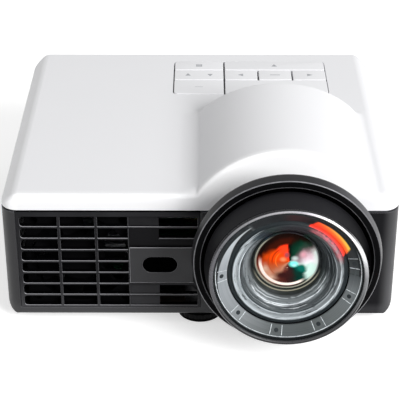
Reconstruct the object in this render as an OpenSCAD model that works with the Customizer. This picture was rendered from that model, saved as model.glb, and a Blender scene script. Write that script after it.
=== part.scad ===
// Compact LED short-throw projector: white cover with a lens bulge over a black vented case.
// Frame: origin on the table under the middle of the whole object, +X right as seen from the
// front, -Y towards the screen, +Z up. Sizes are in millimetres.

/* [Body] */
// Width of the body
body_w = 112; // [108:1:118]
// Depth of the body, front face to back face
body_d = 98; // [97:0.5:100]
// Height of the black case, floor to split line
case_h = 34.85; // [34.6:0.05:35.1]
// Height of the white cover's flat top above the split line
cover_h = 5; // [4.9:0.1:5.4]
// Gap between the case floor and the table
foot_gap = 2.9; // [2.8:0.1:3.2]
// Corner radius of the body seen from above
corner_r = 5; // [4.5:0.5:6]
// Wall thickness of case and cover
wall = 2; // [1.8:0.1:2.2]

/* [Lens] */
// Sideways offset of the lens axis
lens_x = 23.65; // [23.25:0.1:24.05]
// Height of the lens axis below the split line
lens_drop = 6.4; // [6:0.1:6.8]
// How far the lens nose stands out of the front face
lens_reach = 25.5; // [25:0.1:26.5]
// Radius of the horn at its rim
horn_r = 25.95; // [25.75:0.1:26.25]
// Radius of the horn's neck in the front wall
neck_r = 16.6; // [16.2:0.1:16.8]
// Radius of the lens nose at its front edge
nose_r = 21.25; // [21.05:0.1:21.45]
// Radius of the coated inner lens
inner_lens_r = 8.8; // [8.4:0.1:9]

/* [Bulge] */
// Radius of the bulge over the lens
bulge_r = 29.5; // [29.2:0.1:29.8]
// Height of the bulge's top above the split line
bulge_top = 18.5; // [18.2:0.1:19]
// Length of the bulge along its foot
bulge_len = 51.6; // [48:0.1:54]
// How far the bulge's back leans forward at its top
bulge_lean = 6.4; // [4:0.1:7]

/* [Grille] */
// Distance from one slat to the next
slat_pitch = 3.76; // [3.7:0.01:3.8]
// Height of a slat
slat_t = 0.7; // [0.6:0.05:0.9]
// Number of rows of slots
slat_rows = 8; // [7:1:8]
// Width of the upright ribs
rib_w = 0.8; // [0.6:0.1:1]

/* [Keypad] */
// Gap between two keys
key_gap = 0.5; // [0.4:0.05:0.6]
// Travel of a key
key_travel = 0.4; // [0.2:0.05:0.4]

/* [Cooling] */
// Side of the square fan frames
fan_w = 30; // [29:0.5:30]
// Depth of the fan frames
fan_d = 8; // [7:0.5:8]
// Number of fan blades
fan_blades = 7; // [5:1:9]
// Number of fins on the large heat sink
fin_count = 8; // [6:1:9]

/* [Feet] */
// Radius of the adjustable foot's wheel
foot_r = 7; // [6.5:0.1:7.2]
// Radius of the foot's stud
stud_r = 2.5; // [2.3:0.1:2.6]
// Radius of the tripod thread's wall
tripod_r = 2.6; // [2.5:0.05:2.7]

/* [Hidden] */
$fn = 48;
half_w = body_w / 2;
total_d = body_d + lens_reach;
y_front = lens_reach - total_d / 2;
y_back = total_d / 2;
z_floor = foot_gap;
z_split = z_floor + case_h;
z_top = z_split + cover_h;
lens_z = z_split - lens_drop;
clear = 0.3;

// Bulge cylinder
bulge_z = z_split + bulge_top - bulge_r;

// Front grille, placed from the split line down
slot_h = slat_pitch - slat_t;
slot_top = z_split - 2.15;
grille_left = -50.75;
grille_ribs = [-39.8, -29.3];
grille_block = -20.4;
right_slots = [-11.6, -0.7];
blank_depth = 0.5;
seam = 0.5;
panel_bottom = slot_top - slat_rows * slat_pitch + slat_t - 0.7;
sensor_x = [-20.1, -1.9];
sensor_z = [z_split - 23.7, z_split - 11.9];
window_c = [-11.4, z_split - 17.7];
window_w = 9.9;
window_h = 5.1;

// Keypad: column and row lines, and the height of the caps
pad_x = [-8.8, 7.6, 18.65, 29.75, 40.9];
pad_y = [for (d = [65.7, 76.5, 84.3, 91.5]) y_front + d];
pad_r = 2.2;
cap_proud = 0.15;
cap_bottom = z_top - wall - 0.1;
frame_top = cap_bottom - key_travel - 0.1;
frame_t = 1;
pad_board_top = frame_top - frame_t - 1.8;
pad_board_t = 1.2;
dome_h = 0.3;
stem_r = 1.5;
pad_pins = [for (x = [-7, 39], y = [pad_y[0] - 2, pad_y[3] + 1.8]) [x, y]];

// Case screws, one near each corner
post_at = [[-50, -18], [-50, 53], [50, -28.5], [50.4, 53]];
post_r = 3;
screw_r = 1.25;
post_foot = 13;

// Main board
board_x = [-46, 43.8];
board_y = [-20, 58];
board_z = 7.6;
board_t = 1.6;
board_top = board_z + board_t;
board_holes = [[-42, -16], [40, -16], [-42, 44], [40, 44]];

// Feet and tripod socket
foot_y = y_front + 7;
pad_h = 1;
stud_top = 17;
nut_top = 16;
rear_feet = [[-41, 48], [41, 48]];
tripod_y = 12;
tripod_depth = 8;

// Optical engine: middle of the light path, and the engine's box
path_y = 12;
path_z = 26;
cross_x = -8;
engine_x = [-18, 37];
engine_y = [-1, 25];
engine_z = [15, 33.6];
prism_s = 19;
plate_t = 2;
carriage_t = [-21, -12];
rod_ring = 15.5;
rod_angles = [150, 330];
screw_angle = 210;
lead_r = 1.2;
motor_t = -30;

// Sockets: middle of each along X
jack_x = -41.5;
hdmi_x = -25;
card_x = -8;
port_x = 10;
usb_x = 27.5;
audio_x = 40.5;
audio_z = board_top + 3.2;
audio_r = 1.8;
ir_at = [-41.5, 28];
lock_at = [38, 28];

speaker_y = 35.5;
front_fan = [-34.5, y_front + wall + 0.4, 20.6];
side_fan = [half_w - wall - 1.4, 1, 21.2];

// ---------- helpers ----------

// Rectangle with round corners, centred
module rounded_rect(w, d, r) {
    square([w - 2 * r, d], center = true);
    square([w, d - 2 * r], center = true);
    for (x = [-1, 1], y = [-1, 1])
        translate([x * (w / 2 - r), y * (d / 2 - r)]) circle(r);
}

// Outline with round ends, centred, long side along X
module stadium(w, h) {
    square([w - h, h], center = true);
    for (x = [-1, 1]) translate([x * (w - h) / 2, 0]) circle(h / 2);
}

// Raises an (x, z) outline along Y from y0 to y1
module along_y(y0, y1) {
    translate([0, y1, 0]) rotate([90, 0, 0]) linear_extrude(y1 - y0) children();
}

// Raises a (y, z) outline along X from x0 to x1
module along_x(x0, x1) {
    translate([x0, 0, 0]) rotate([90, 0, 90]) linear_extrude(x1 - x0) children();
}

// Box from its low corner to its high corner
module block(a, b) {
    translate(a) cube(b - a);
}

// Children drawn about +Z come out along the lens axis, 0 at the front face, + to the screen
module on_lens() {
    translate([lens_x, y_front, lens_z]) rotate([90, 0, 0]) children();
}

// Ring between two radii and two distances along its axis
module ring(r_in, r_out, t0, t1) {
    translate([0, 0, t0]) difference() {
        cylinder(r = r_out, h = t1 - t0);
        translate([0, 0, -1]) cylinder(r = r_in, h = t1 - t0 + 2);
    }
}

// Points of an arc in the plane
function arc(cx, cy, r, a0, a1, n = 6) =
    [for (i = [0:n]) let (a = a0 + (a1 - a0) * i / n) [cx + r * cos(a), cy + r * sin(a)]];

// ---------- shells ----------

module plan(inset) {
    translate([0, (y_front + y_back) / 2])
        rounded_rect(body_w - 2 * inset, body_d - 2 * inset, corner_r - inset);
}

// Falling shoulder at the cover's sides: inward and upward from the split line
shoulder = [[0, 1.5], [0.4, 2.2], [3.6, 4.7], [4.5, cover_h]];

module cover_form(inset, z0) {
    x = half_w - inset;
    right = [for (s = shoulder) [x - s[0], z_split + s[1] - inset]];
    left = [for (i = [len(shoulder) - 1:-1:0]) [-right[i][0], right[i][1]]];
    fr = 1.3 - inset / 2;
    br = 2 - inset / 2;
    top = z_top - inset;
    yf = y_front + inset;
    yb = y_back - inset;
    intersection() {
        translate([0, 0, z0]) linear_extrude(z_top - z0) plan(inset);
        along_y(y_front - 1, y_back + 1) polygon(concat([[-x, z0 - 1], [x, z0 - 1]], right, left));
        along_x(-half_w - 1, half_w + 1) polygon(concat(
            [[yf, z0 - 1]], arc(yf + fr, top - fr, fr, 180, 90),
            arc(yb - br, top - br, br, 90, 0), [[yb, z0 - 1]]));
    }
}

// Half-round hill over the lens, its back leaning forward
module bulge_form(inset, z0) {
    r = bulge_r - inset;
    edge = 1.5 - inset / 2;
    foot = y_front + bulge_len - inset;
    lean = bulge_lean / (bulge_top - cover_h);
    long = bulge_len + 20;
    intersection() {
        union() {
            translate([lens_x, y_front + inset, bulge_z]) rotate([-90, 0, 0])
                rotate_extrude($fn = 96) polygon(concat([[0, 0]], arc(r - edge, edge, edge, -90, 0), [[r, long], [0, long]]));
            if (inset == 0) for (side = [-1, 1]) crease(side, long);
        }
        along_x(lens_x - bulge_r - 5, lens_x + bulge_r + 5) polygon([
            [y_front, z0], [foot + lean * (z_top - z0), z0],
            [foot - lean * (bulge_top - cover_h + 5), z_split + bulge_top + 5],
            [y_front, z_split + bulge_top + 5]]);
    }
}

// Hollow rise at the foot of the hill, that meets it in a line
module crease(side, long) {
    r = side < 0 ? 18 : 4;
    run = side < 0 ? 6 : 2;
    rise = r - sqrt(r * r - run * run);
    foot = sqrt(pow(bulge_r, 2) - pow(z_top + rise - bulge_z, 2));
    translate([lens_x, 0, 0]) mirror([side > 0 ? 1 : 0, 0, 0]) along_y(y_front + 1.2, y_front + long)
        polygon(concat(arc(-foot - run, z_top + r, r, -90, -90 + asin(run / r), 5),
            [[-foot + 0.8, z_top - 0.5], [-foot - run, z_top - 0.5]]));
}

module top_cover() {
    color("white") {
        difference() {
            union() {
                cover_form(0, z_split);
                bulge_form(0, z_split);
            }
            cover_form(wall, z_split - 1);
            bulge_form(wall, z_split - 1);
            on_lens() translate([0, 0, -wall - 3]) cylinder(r = neck_r + clear, h = wall + 8);
            translate([0, 0, z_top - wall - 3]) linear_extrude(wall + 4) pad_outline(-0.1);
        }
        // lip that locates the cover inside the case
        difference() {
            translate([0, 0, z_split - 1.6]) linear_extrude(3) plan(wall + 0.15);
            translate([0, 0, z_split - 2]) linear_extrude(4) plan(wall + 1.1);
            block([-half_w, y_front - 1, z_split - 2], [half_w, y_front + wall + 1.2, z_split + 2]);
            block([-half_w, y_back - 4.5, z_split - 2], [half_w, y_back, z_split + 2]);
        }
        for (p = post_at) cover_post(p);
        for (p = pad_pins)
            translate([p[0], p[1], pad_board_top - pad_board_t - 0.8])
                cylinder(r = 1, h = z_top - wall - pad_board_top + pad_board_t + 1.3);
    }
}

// Post that takes a case screw
module cover_post(p) {
    translate([p[0], p[1], post_foot]) difference() {
        cylinder(r = post_r, h = z_top - wall - post_foot + 0.4 - (abs(p[0]) > 48 ? 1 : 0));
        translate([0, 0, -1]) cylinder(r = screw_r, h = 12);
    }
}

// Outer form of the black case, round at its lower edges
module case_form(inset, z1) {
    r = 4 - inset / 2;
    e = 1.4 - inset / 3;
    x = half_w - inset;
    z0 = z_floor + inset;
    yf = y_front + inset;
    yb = y_back - inset;
    intersection() {
        translate([0, 0, z0]) linear_extrude(z1 - z0) plan(inset);
        along_y(y_front - 1, y_back + 1) polygon(concat(
            arc(-x + r, z0 + r, r, 180, 270), arc(x - r, z0 + r, r, 270, 360),
            [[x, z1 + 1], [-x, z1 + 1]]));
        along_x(-half_w - 1, half_w + 1) polygon(concat(
            arc(yf + e, z0 + e, e, 180, 270), arc(yb - e, z0 + e, e, 270, 360),
            [[yb, z1 + 1], [yf, z1 + 1]]));
    }
}

// A bank of level vent slots through a side wall, centred at y
module side_slots(side, y, w, rows) {
    for (i = [0:rows - 1])
        translate([side * half_w, y, slot_top - slot_h / 2 - (i + 0.5) * slat_pitch])
            cube([3 * wall, w, slot_h - 0.6], center = true);
}

module lower_case() {
    color("#1c1c1e") {
        difference() {
            case_form(0, z_split);
            case_form(wall, z_split + 1);
            // shadow line under the cover
            translate([0, 0, z_split - seam]) linear_extrude(1) difference() {
                plan(-1);
                plan(seam + 0.1);
            }
            // front panel opening and the neck of the horn
            block([grille_left - 1.15, y_front - 1, panel_bottom], [0.2, y_front + wall + 1, z_split + 1]);
            on_lens() translate([0, 0, -wall - 3]) cylinder(r = neck_r + clear, h = wall + 8);
            // rear panel opening
            block([-48, y_back - wall - 1, 6.6], [48, y_back + 1, z_split - 4]);
            for (y = [-6, 10, 26]) side_slots(-1, y, 14, 7);
            for (y = [-5, 7]) side_slots(1, y, 11, 7);
            for (i = [-3:3], j = [-2:2])
                translate([half_w - 3, speaker_y + 3 * i, 21 + 3 * j]) rotate([0, 90, 0]) cylinder(r = 0.8, h = 6);
            for (p = post_at) translate([p[0], p[1], z_floor - 1]) cylinder(r = 2.7, h = 6.4);
            translate([0, foot_y, z_floor - 1]) cylinder(r = stud_r + 0.05, h = 20);
            translate([0, tripod_y, z_floor - 1]) cylinder(r = 5.5, h = 20);
            for (p = rear_feet) translate([p[0], p[1], z_floor - 1]) cylinder(r = 5, h = 1.5);
        }
        for (p = post_at) translate([p[0], p[1], 0]) {
            ring(2.7, post_r + 0.6, z_floor + 1, 8.5);
            ring(screw_r + 0.15, post_r + 0.6, 8.5, post_foot - 0.1);
        }
        for (p = board_holes) translate([p[0], p[1], 0]) ring(0.9, 2.6, z_floor + wall - 0.5, board_z);
        translate([0, foot_y, 0]) ring(stud_r + 0.05, 4.5, z_floor + 1, nut_top);
        translate([0, tripod_y, 0]) ring(5.5, 7, z_floor + 1, board_z - 0.4);
    }
}

// ---------- front panel ----------

// A slot through the panel, its left corners rounded by r
module slot(x0, x1, z0, z1, r) {
    along_y(y_front - 1, y_front + wall + 1) {
        translate([x0 + r, z0]) square([x1 - x0 - r, z1 - z0]);
        translate([x0, z0 + r]) square([r + 0.1, z1 - z0 - 2 * r]);
        for (z = [z0 + r, z1 - r]) translate([x0 + r, z]) circle(r);
    }
}

module slot_row(i) {
    z1 = slot_top - i * slat_pitch;
    edges = concat([grille_left], grille_ribs, [grille_block]);
    for (k = [0:2])
        slot(edges[k] + (k == 0 ? 0 : rib_w / 2), edges[k + 1] - (k == 2 ? 0 : rib_w / 2),
             z1 - slot_h, z1, k == 0 ? 1 : 0.1);
    if (i < 2 || i > 5) slot(right_slots[0], right_slots[1], z1 - slot_h, z1, 0.1);
}

// Shallow set-back of the solid fields between the slots
module blank(x0, x1, z0, z1) {
    block([x0, y_front - 1, z_split + z0], [x1, y_front + blank_depth, z_split + z1]);
}

module front_grille() {
    top_row = slot_top - z_split;
    low_row = top_row - 6 * slat_pitch;
    color("#202022") difference() {
        union() {
            block([grille_left - 1.1, y_front + 0.05, panel_bottom + 0.05], [0.15, y_front + wall, z_split - seam]);
            block([grille_left - 1.1, y_front + 0.7, z_split - 1], [0.15, y_front + wall, z_split - 0.05]);
        }
        for (i = [0:slat_rows - 1]) slot_row(i);
        blank(grille_block + 0.3, right_slots[0] + 0.1, top_row - slot_h, top_row);
        blank(grille_block + 0.3, right_slots[0] + 0.1, sensor_z[1] - z_split - 0.1, top_row - slat_pitch);
        blank(right_slots[0], right_slots[1], sensor_z[1] - z_split - 0.1, top_row - 2 * slat_pitch);
        blank(grille_block + 0.3, right_slots[0] + 0.1, low_row - slot_h, low_row);
        blank(grille_block + 0.3, right_slots[0] + 0.1, low_row - slat_pitch - slot_h, low_row - slat_pitch);
        block([sensor_x[0], y_front - 1, sensor_z[0]], [sensor_x[1], y_front + 1.2, sensor_z[1]]);
        translate([window_c[0], 0, window_c[1]]) along_y(y_front - 1, y_front + wall + 1)
            stadium(window_w + 1, window_h + 1);
    }
}

module sensor_plate() {
    color("#262628") difference() {
        block([sensor_x[0] + 0.05, y_front - 0.15, sensor_z[0] + 0.05],
              [sensor_x[1] - 0.05, y_front + 1.15, sensor_z[1] - 0.05]);
        translate([window_c[0], 0, window_c[1]]) along_y(y_front - 1, y_front + 3) stadium(window_w, window_h);
    }
}

module sensor_window() {
    color("#050507") translate([window_c[0], 0, window_c[1]]) {
        along_y(y_front + 0.35, y_front + 1.25) stadium(window_w - 0.05, window_h - 0.05);
        along_y(y_front + 1.25, y_front + 1.9) stadium(window_w + 0.9, window_h + 0.9);
    }
}

module sensor_board() {
    color("darkgreen") block([-18, y_front + 5, 14.5], [-5.2, y_front + 6.2, 25]);
    color("#101012") translate([window_c[0], y_front + 5, window_c[1]]) rotate([90, 0, 0]) {
        for (x = [-2.5, 2.5]) translate([x, 0, 0]) cylinder(r = 1.9, h = 2.8);
    }
}

// ---------- rear panel ----------

// A socket hole in the rear panel, on the board's top face
module socket_cut(x, w, h) {
    block([x - w / 2, y_back - 4, board_top - 0.1], [x + w / 2, y_back + 1, board_top + h]);
}

module rear_panel() {
    color("#18181a") difference() {
        block([-47.95, y_back - wall, 6.65], [47.95, y_back - 0.3, z_split - 4.05]);
        socket_cut(jack_x, 9.3, 10.3);
        socket_cut(hdmi_x, 15.4, 5.9);
        socket_cut(card_x, 14.4, 2.2);
        socket_cut(port_x, 18.4, 5.2);
        socket_cut(usb_x, 13.6, 6.2);
        socket_cut(audio_x, 7.4, 6.8);
        translate([ir_at[0], 0, ir_at[1]]) along_y(y_back - 4, y_back + 1) circle(2.8);
        translate([lock_at[0], 0, lock_at[1]]) along_y(y_back - 4, y_back + 1) square([7, 3], center = true);
    }
}

module ir_window() {
    color("#2a0a10") translate([ir_at[0], 0, ir_at[1]]) {
        along_y(y_back - wall, y_back - 0.1) circle(2.75);
        along_y(y_back - wall - 1, y_back - wall) circle(3.6);
    }
}

// ---------- fasteners and feet ----------

module screw(r, head_r, head_h, length) {
    difference() {
        cylinder(r = head_r, h = head_h);
        translate([0, 0, -0.1]) for (a = [0, 90])
            rotate(a) translate([-head_r * 0.6, -0.3, 0]) cube([head_r * 1.2, 0.6, 0.9]);
    }
    translate([0, 0, head_h]) cylinder(r = r, h = length);
}

module case_screws() {
    color("#3a3a3c") for (p = post_at) translate([p[0], p[1], 6.5]) screw(screw_r, 2.4, 2, 14);
}

module rear_feet() {
    color("#0c0c0d") for (p = rear_feet) translate([p[0], p[1], 0]) {
        cylinder(r1 = 4.6, r2 = 4.95, h = 0.6);
        translate([0, 0, 0.6]) cylinder(r = 4.95, h = z_floor - 0.15);
    }
}

module tripod_insert() {
    color("goldenrod") translate([0, tripod_y, z_floor]) difference() {
        cylinder(r = 5.45, h = tripod_depth + 2);
        translate([0, 0, -0.01]) cylinder(r = tripod_r, h = tripod_depth);
    }
}

module foot_pad() {
    color("#0c0c0d") translate([0, foot_y, 0]) {
        cylinder(r = foot_r - 0.6, h = pad_h);
        translate([0, 0, pad_h]) cylinder(r = 1.2, h = 1.4);
    }
}

module foot_wheel() {
    color("#131314") translate([0, foot_y, 0]) difference() {
        union() {
            translate([0, 0, pad_h + clear]) cylinder(r = foot_r, h = z_floor - pad_h - 2 * clear);
            translate([0, 0, pad_h + clear]) cylinder(r = stud_r, h = stud_top - pad_h);
        }
        translate([0, 0, 0.5]) cylinder(r = 1.25, h = pad_h + 1.3);
        for (i = [0:23]) rotate(i * 15) translate([foot_r + 0.35, 0, 0]) cylinder(r = 0.6, h = 4);
    }
}

// ---------- keypad ----------

// Outline of the whole keypad, drawn in by an inset
module pad_outline(inset) {
    translate([(pad_x[0] + pad_x[4]) / 2, (pad_y[0] + pad_y[3]) / 2])
        rounded_rect(pad_x[4] - pad_x[0] - 2 * inset, pad_y[3] - pad_y[0] - 2 * inset, pad_r - inset);
}

// One key: cap between its lines, and a stem for each dome it presses
module key(x0, x1, y0, y1, stems) {
    g = key_gap / 2;
    h = z_top + cap_proud - cap_bottom;
    color("#f4f4f5") {
        intersection() {
            translate([(x0 + x1) / 2, (y0 + y1) / 2, cap_bottom])
                linear_extrude(h) rounded_rect(x1 - x0 - 2 * g, y1 - y0 - 2 * g, 0.5);
            translate([0, 0, cap_bottom]) linear_extrude(h) pad_outline(g);
        }
        for (x = stems)
            translate([x, (y0 + y1) / 2, pad_board_top + dome_h + key_travel + 0.1])
                cylinder(r = stem_r, h = cap_bottom - pad_board_top - dome_h - key_travel + 0.2);
    }
}

left_mid = (pad_x[0] + pad_x[1]) / 2;
rocker_arm = 4;
ridge_r = 0.45;
right_stems = [for (i = [1:3]) (pad_x[i] + pad_x[i + 1]) / 2];

module key_menu() { key(pad_x[0], pad_x[1], pad_y[2], pad_y[3], [left_mid]); }
module key_volume() {
    key(pad_x[0], pad_x[1], pad_y[1], pad_y[2], [left_mid - rocker_arm, left_mid + rocker_arm]);
    color("#f4f4f5") translate([left_mid, 0, cap_bottom]) along_y(pad_y[1] + 1.2, pad_y[2] - 1.2) circle(ridge_r);
}
module key_power() { key(pad_x[0], pad_x[1], pad_y[0], pad_y[1], [left_mid]); }
module key_up() { key(pad_x[1], pad_x[4], pad_y[2], pad_y[3], [right_stems[1]]); }
module key_left() { key(pad_x[1], pad_x[2], pad_y[1], pad_y[2], [right_stems[0]]); }
module key_enter() { key(pad_x[2], pad_x[3], pad_y[1], pad_y[2], [right_stems[1]]); }
module key_right() { key(pad_x[3], pad_x[4], pad_y[1], pad_y[2], [right_stems[2]]); }
module key_down() { key(pad_x[1], pad_x[4], pad_y[0], pad_y[1], [right_stems[1]]); }

// Where each stem presses
stem_at = concat(
    [for (j = [0, 2]) [left_mid, (pad_y[j] + pad_y[j + 1]) / 2]],
    [for (s = [-1, 1]) [left_mid + s * rocker_arm, (pad_y[1] + pad_y[2]) / 2]],
    [for (j = [0, 2]) [right_stems[1], (pad_y[j] + pad_y[j + 1]) / 2]],
    [for (x = right_stems) [x, (pad_y[1] + pad_y[2]) / 2]]);

module pad_plate(z0, t, hole_r) {
    difference() {
        block([pad_x[0] - 1, pad_y[0] - 3.6, z0], [pad_x[4] + 1, pad_y[3] + 3.4, z0 + t]);
        for (p = pad_pins) translate([p[0], p[1], z0 - 1]) cylinder(r = 1.1, h = t + 2);
        if (hole_r > 0) for (p = stem_at) translate([p[0], p[1], z0 - 1]) cylinder(r = hole_r, h = t + 2);
    }
}

module keypad_frame() {
    color("#dcdcde") pad_plate(frame_top - frame_t, frame_t, stem_r + 0.35);
}

module keypad_board() {
    color("darkgreen") pad_plate(pad_board_top - pad_board_t, pad_board_t, 0);
    color("silver") for (p = stem_at) translate([p[0], p[1], pad_board_top]) cylinder(r = 2.1, h = dome_h);
}

// ---------- projection lens ----------

module lens_horn() {
    color("#141416") on_lens() rotate_extrude($fn = 96) polygon([
        [neck_r - 1.8, -4], [neck_r + 2.4, -4], [neck_r + 2.4, -wall - 0.1], [neck_r, -wall - 0.1],
        [neck_r, 0.8], [neck_r + 1.4, 3.6], [neck_r + 4.4, 9], [horn_r - 0.3, 14.2], [horn_r, 14.7],
        [horn_r - 0.5, 17.1], [horn_r - 0.8, 17.4], [23.7, 17.7], [23.4, 17.4], [23.2, 16.2],
        [neck_r + 2.4, 10], [neck_r - 0.1, 4.4], [neck_r - 1.8, 1.4]]);
}

module lens_barrel() {
    color("#101012") on_lens() difference() {
        union() {
            ring(12.8, 14.5, -6.5, 12.9);
            ring(12.8, 20.5, -6.5, -4);
        }
        for (a = rod_angles) beside(a, rod_ring + 1.5) translate([0, 0, -8]) cylinder(r = 1, h = 2.8);
    }
}

module lens_nose() {
    lip = lens_reach - 0.9;
    color("#121214") on_lens() rotate_extrude($fn = 96) polygon([
        [14.55, 4], [15.3, 4], [16.1, 7.2], [19.3, 12.6], [22.3, 17.6], [22.5, 19], [nose_r + 0.1, lip],
        [nose_r - 0.5, lip], [nose_r - 0.5, 21.9], [17.2, 21.9], [16.3, 12.8], [14.55, 12.8]]);
}

module lens_trim_ring() {
    t = lens_reach;
    color("#b8bbc0") on_lens() rotate_extrude($fn = 96) polygon([
        [nose_r - 1.1, t - 0.85], [nose_r, t - 0.85], [nose_r, t - 0.4], [nose_r - 0.15, t - 0.1],
        [nose_r - 0.4, t], [nose_r - 0.8, t - 0.05], [nose_r - 1.1, t - 0.3]]);
}

module lens_scale_ring() {
    color("#5c6468") on_lens() rotate_extrude($fn = 96) polygon([
        [17.3, 21.95], [nose_r - 0.6, 21.95], [nose_r - 0.6, 24], [19.1, 24], [16.4, 22.6], [16.4, 22.2], [17.3, 22.2]]);
}

// Half outline of a lens face, from the axis out to r
function dome(r, t_edge, t_mid, n = 8) =
    let (s = t_mid - t_edge, ball = (r * r + s * s) / (2 * s))
    [for (i = [0:n]) let (x = r * i / n) [x, t_mid - ball + sign(s) * sqrt(ball * ball - x * x)]];

// Lens between a back and a front face
module lens(r, back_mid, back_edge, front_edge, front_mid) {
    back = dome(r, back_edge, back_mid);
    front = dome(r, front_edge, front_mid);
    rotate_extrude($fn = 96) polygon(concat(back, [for (i = [len(front) - 1:-1:0]) front[i]]));
}

module front_lens() {
    color("#9fb4bd", 0.4) on_lens() lens(nose_r - 0.65, lens_reach - 1, lens_reach - 1.45, lens_reach - 0.95, lens_reach - 0.1);
}

module lens_baffle() {
    color("#3a4044") on_lens() rotate_extrude($fn = 96) polygon([
        [9.3, 12.9], [16.2, 12.9], [16.2, 21.9], [15.6, 22.3], [14.9, 22.3], [14.6, 21.4], [13.7, 21.2],
        [13.5, 20.2], [12.7, 19.9], [12.5, 18.7], [11.5, 18.3], [11.3, 17.1], [10.3, 16.7], [10.1, 15.8], [9.3, 15.6]]);
}

module inner_lens() {
    color("#c8501e") on_lens() lens(inner_lens_r, 13.3, 13.7, 15.9, 19.3);
}

module inner_lens_cell() {
    color("#101012") on_lens() {
        ring(inner_lens_r, 9.3, 10.8, 16.3);
        ring(7.6, inner_lens_r + 0.1, 10.8, 13.3);
    }
}

// A point beside the lens axis, on a circle of radius r at angle a
module beside(a, r) {
    rotate(a) translate([r, 0, 0]) children();
}

module guide_rods() {
    color("silver") on_lens() for (a = rod_angles) beside(a, rod_ring + 1.5)
        translate([0, 0, -32.4]) cylinder(r = 0.95, h = 27);
}

module focus_carriage() {
    color("#1a1a1c") on_lens() difference() {
        union() {
            ring(11, 13.5, carriage_t[0], carriage_t[1]);
            for (a = rod_angles) beside(a, 0) translate([13, -2.2, carriage_t[0] + 1]) cube([6.6, 4.4, 8]);
            beside(screw_angle, 0) translate([13, -2.6, carriage_t[0] + 3]) cube([7.4, 5.2, 4]);
        }
        for (a = rod_angles) beside(a, rod_ring + 1.5) translate([0, 0, -24]) cylinder(r = 1, h = 14);
        beside(screw_angle, rod_ring + 1.9) translate([0, 0, -24]) cylinder(r = lead_r + 0.05, h = 14);
    }
}

module focus_lens() {
    color("#a8c4cc", 0.5) on_lens() translate([0, 0, carriage_t[0] + 4.5]) lens(10.95, -3.5, -1.8, 1.8, 3.5);
}

module focus_screw() {
    color("#c9ccd0") on_lens() beside(screw_angle, rod_ring + 1.9) {
        translate([0, 0, motor_t]) cylinder(r = lead_r, h = -8.6 - motor_t);
        translate([0, 0, motor_t + 1]) cylinder(r = 2, h = 0.8);
    }
}

module focus_motor() {
    color("#9a9da2") on_lens() beside(screw_angle, rod_ring + 1.9) translate([0, 0, motor_t - 1]) difference() {
        union() {
            cylinder(r = 3.6, h = 6.8);
            translate([3, -1.5, 0]) cube([0.9, 3, 6.8]);
        }
        translate([0, 0, 1.9]) cylinder(r = 2.3, h = 1);
        translate([0, 0, 0.9]) cylinder(r = lead_r + 0.05, h = 8);
    }
}

module lens_mount() {
    color("#8c9096") on_lens() difference() {
        union() {
            translate([0, 0, -33]) cylinder(r = 19, h = plate_t);
            translate([0, 0, -35]) cylinder(r = 9.6, h = 8);
        }
        translate([0, 0, -36]) cylinder(r = 8.4, h = 12);
        for (a = rod_angles) beside(a, rod_ring + 1.5) translate([0, 0, -34]) cylinder(r = 1, h = 5);
    }
}

// ---------- light engine ----------

module engine_housing() {
    t = 1.8;
    color("#a5a9ae") difference() {
        block([engine_x[0], engine_y[0], engine_z[0]], [engine_x[1], engine_y[1], engine_z[1] - t]);
        block([engine_x[0] + t, engine_y[0] + t, engine_z[0] + t], [engine_x[1] - t, engine_y[1] - t, engine_z[1]]);
        // ports for the three light sources, the lens and the mirror chip
        translate([engine_x[0] - 1, path_y, path_z - 2]) rotate([0, 90, 0]) cylinder(r = 5, h = 5);
        translate([cross_x, engine_y[1] + 1, path_z - 2]) rotate([90, 0, 0])
            cylinder(r = 5, h = engine_y[1] - engine_y[0] + 2);
        block([lens_x - 8, engine_y[0] - 1, path_z - 7], [lens_x + 8, engine_y[0] + 3, engine_z[1] + 1]);
        block([lens_x - 8, engine_y[1] - 3, path_z - 7], [lens_x + 8, engine_y[1] + 1, path_z + 3.4]);
    }
}

module engine_lid() {
    color("#b4b8bd") block([engine_x[0], engine_y[0] + 0.2, engine_z[1] - 1.75], [engine_x[1], engine_y[1], engine_z[1]]);
}

module dichroic_plates() {
    color("#d07ac0", 0.5) translate([cross_x, path_y, path_z - 2]) {
        rotate([0, 0, 45]) cube([16, 0.8, 12], center = true);
        for (s = [-1, 1]) rotate([0, 0, -45]) translate([s * 4.3, 0, 0]) cube([7.4, 0.8, 12], center = true);
    }
}

module relay_lenses() {
    color("#b6d0d8", 0.5) translate([0, path_y, path_z - 2]) {
        translate([2, -5.5, -5.5]) cube([2.4, 11, 11]);
        rotate([0, 90, 0]) lens(6, 7, 7.6, 8.6, 11);
    }
}

module prism() {
    s = prism_s / 2;
    color("#c2dce4", 0.4) translate([lens_x, path_y, 0]) {
        translate([0, 0, path_z - 8.6]) linear_extrude(14) polygon([[-s, -s], [s - 0.3, -s], [-s, s - 0.3]]);
        translate([0, 0, path_z - 8.6]) linear_extrude(14) polygon([[s, s], [s, -s + 0.3], [-s + 0.3, s]]);
    }
}

module mirror_chip() {
    color("#7c6f5a") block([lens_x - 8, engine_y[1] + 0.1, path_z - 7.6], [lens_x + 8, engine_y[1] + 2, path_z + 3.4]);
    color("#30343c") block([lens_x - 5.2, engine_y[1] - 0.8, path_z - 5.2], [lens_x + 5.2, engine_y[1] + 0.1, path_z + 1]);
}

module chip_board() {
    color("darkgreen") difference() {
        block([9, engine_y[1] + 2.1, 14], [41, engine_y[1] + 3.3, 34]);
        block([lens_x - 5, engine_y[1] + 1, path_z - 6], [lens_x + 5, engine_y[1] + 5, path_z + 2]);
    }
}

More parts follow.
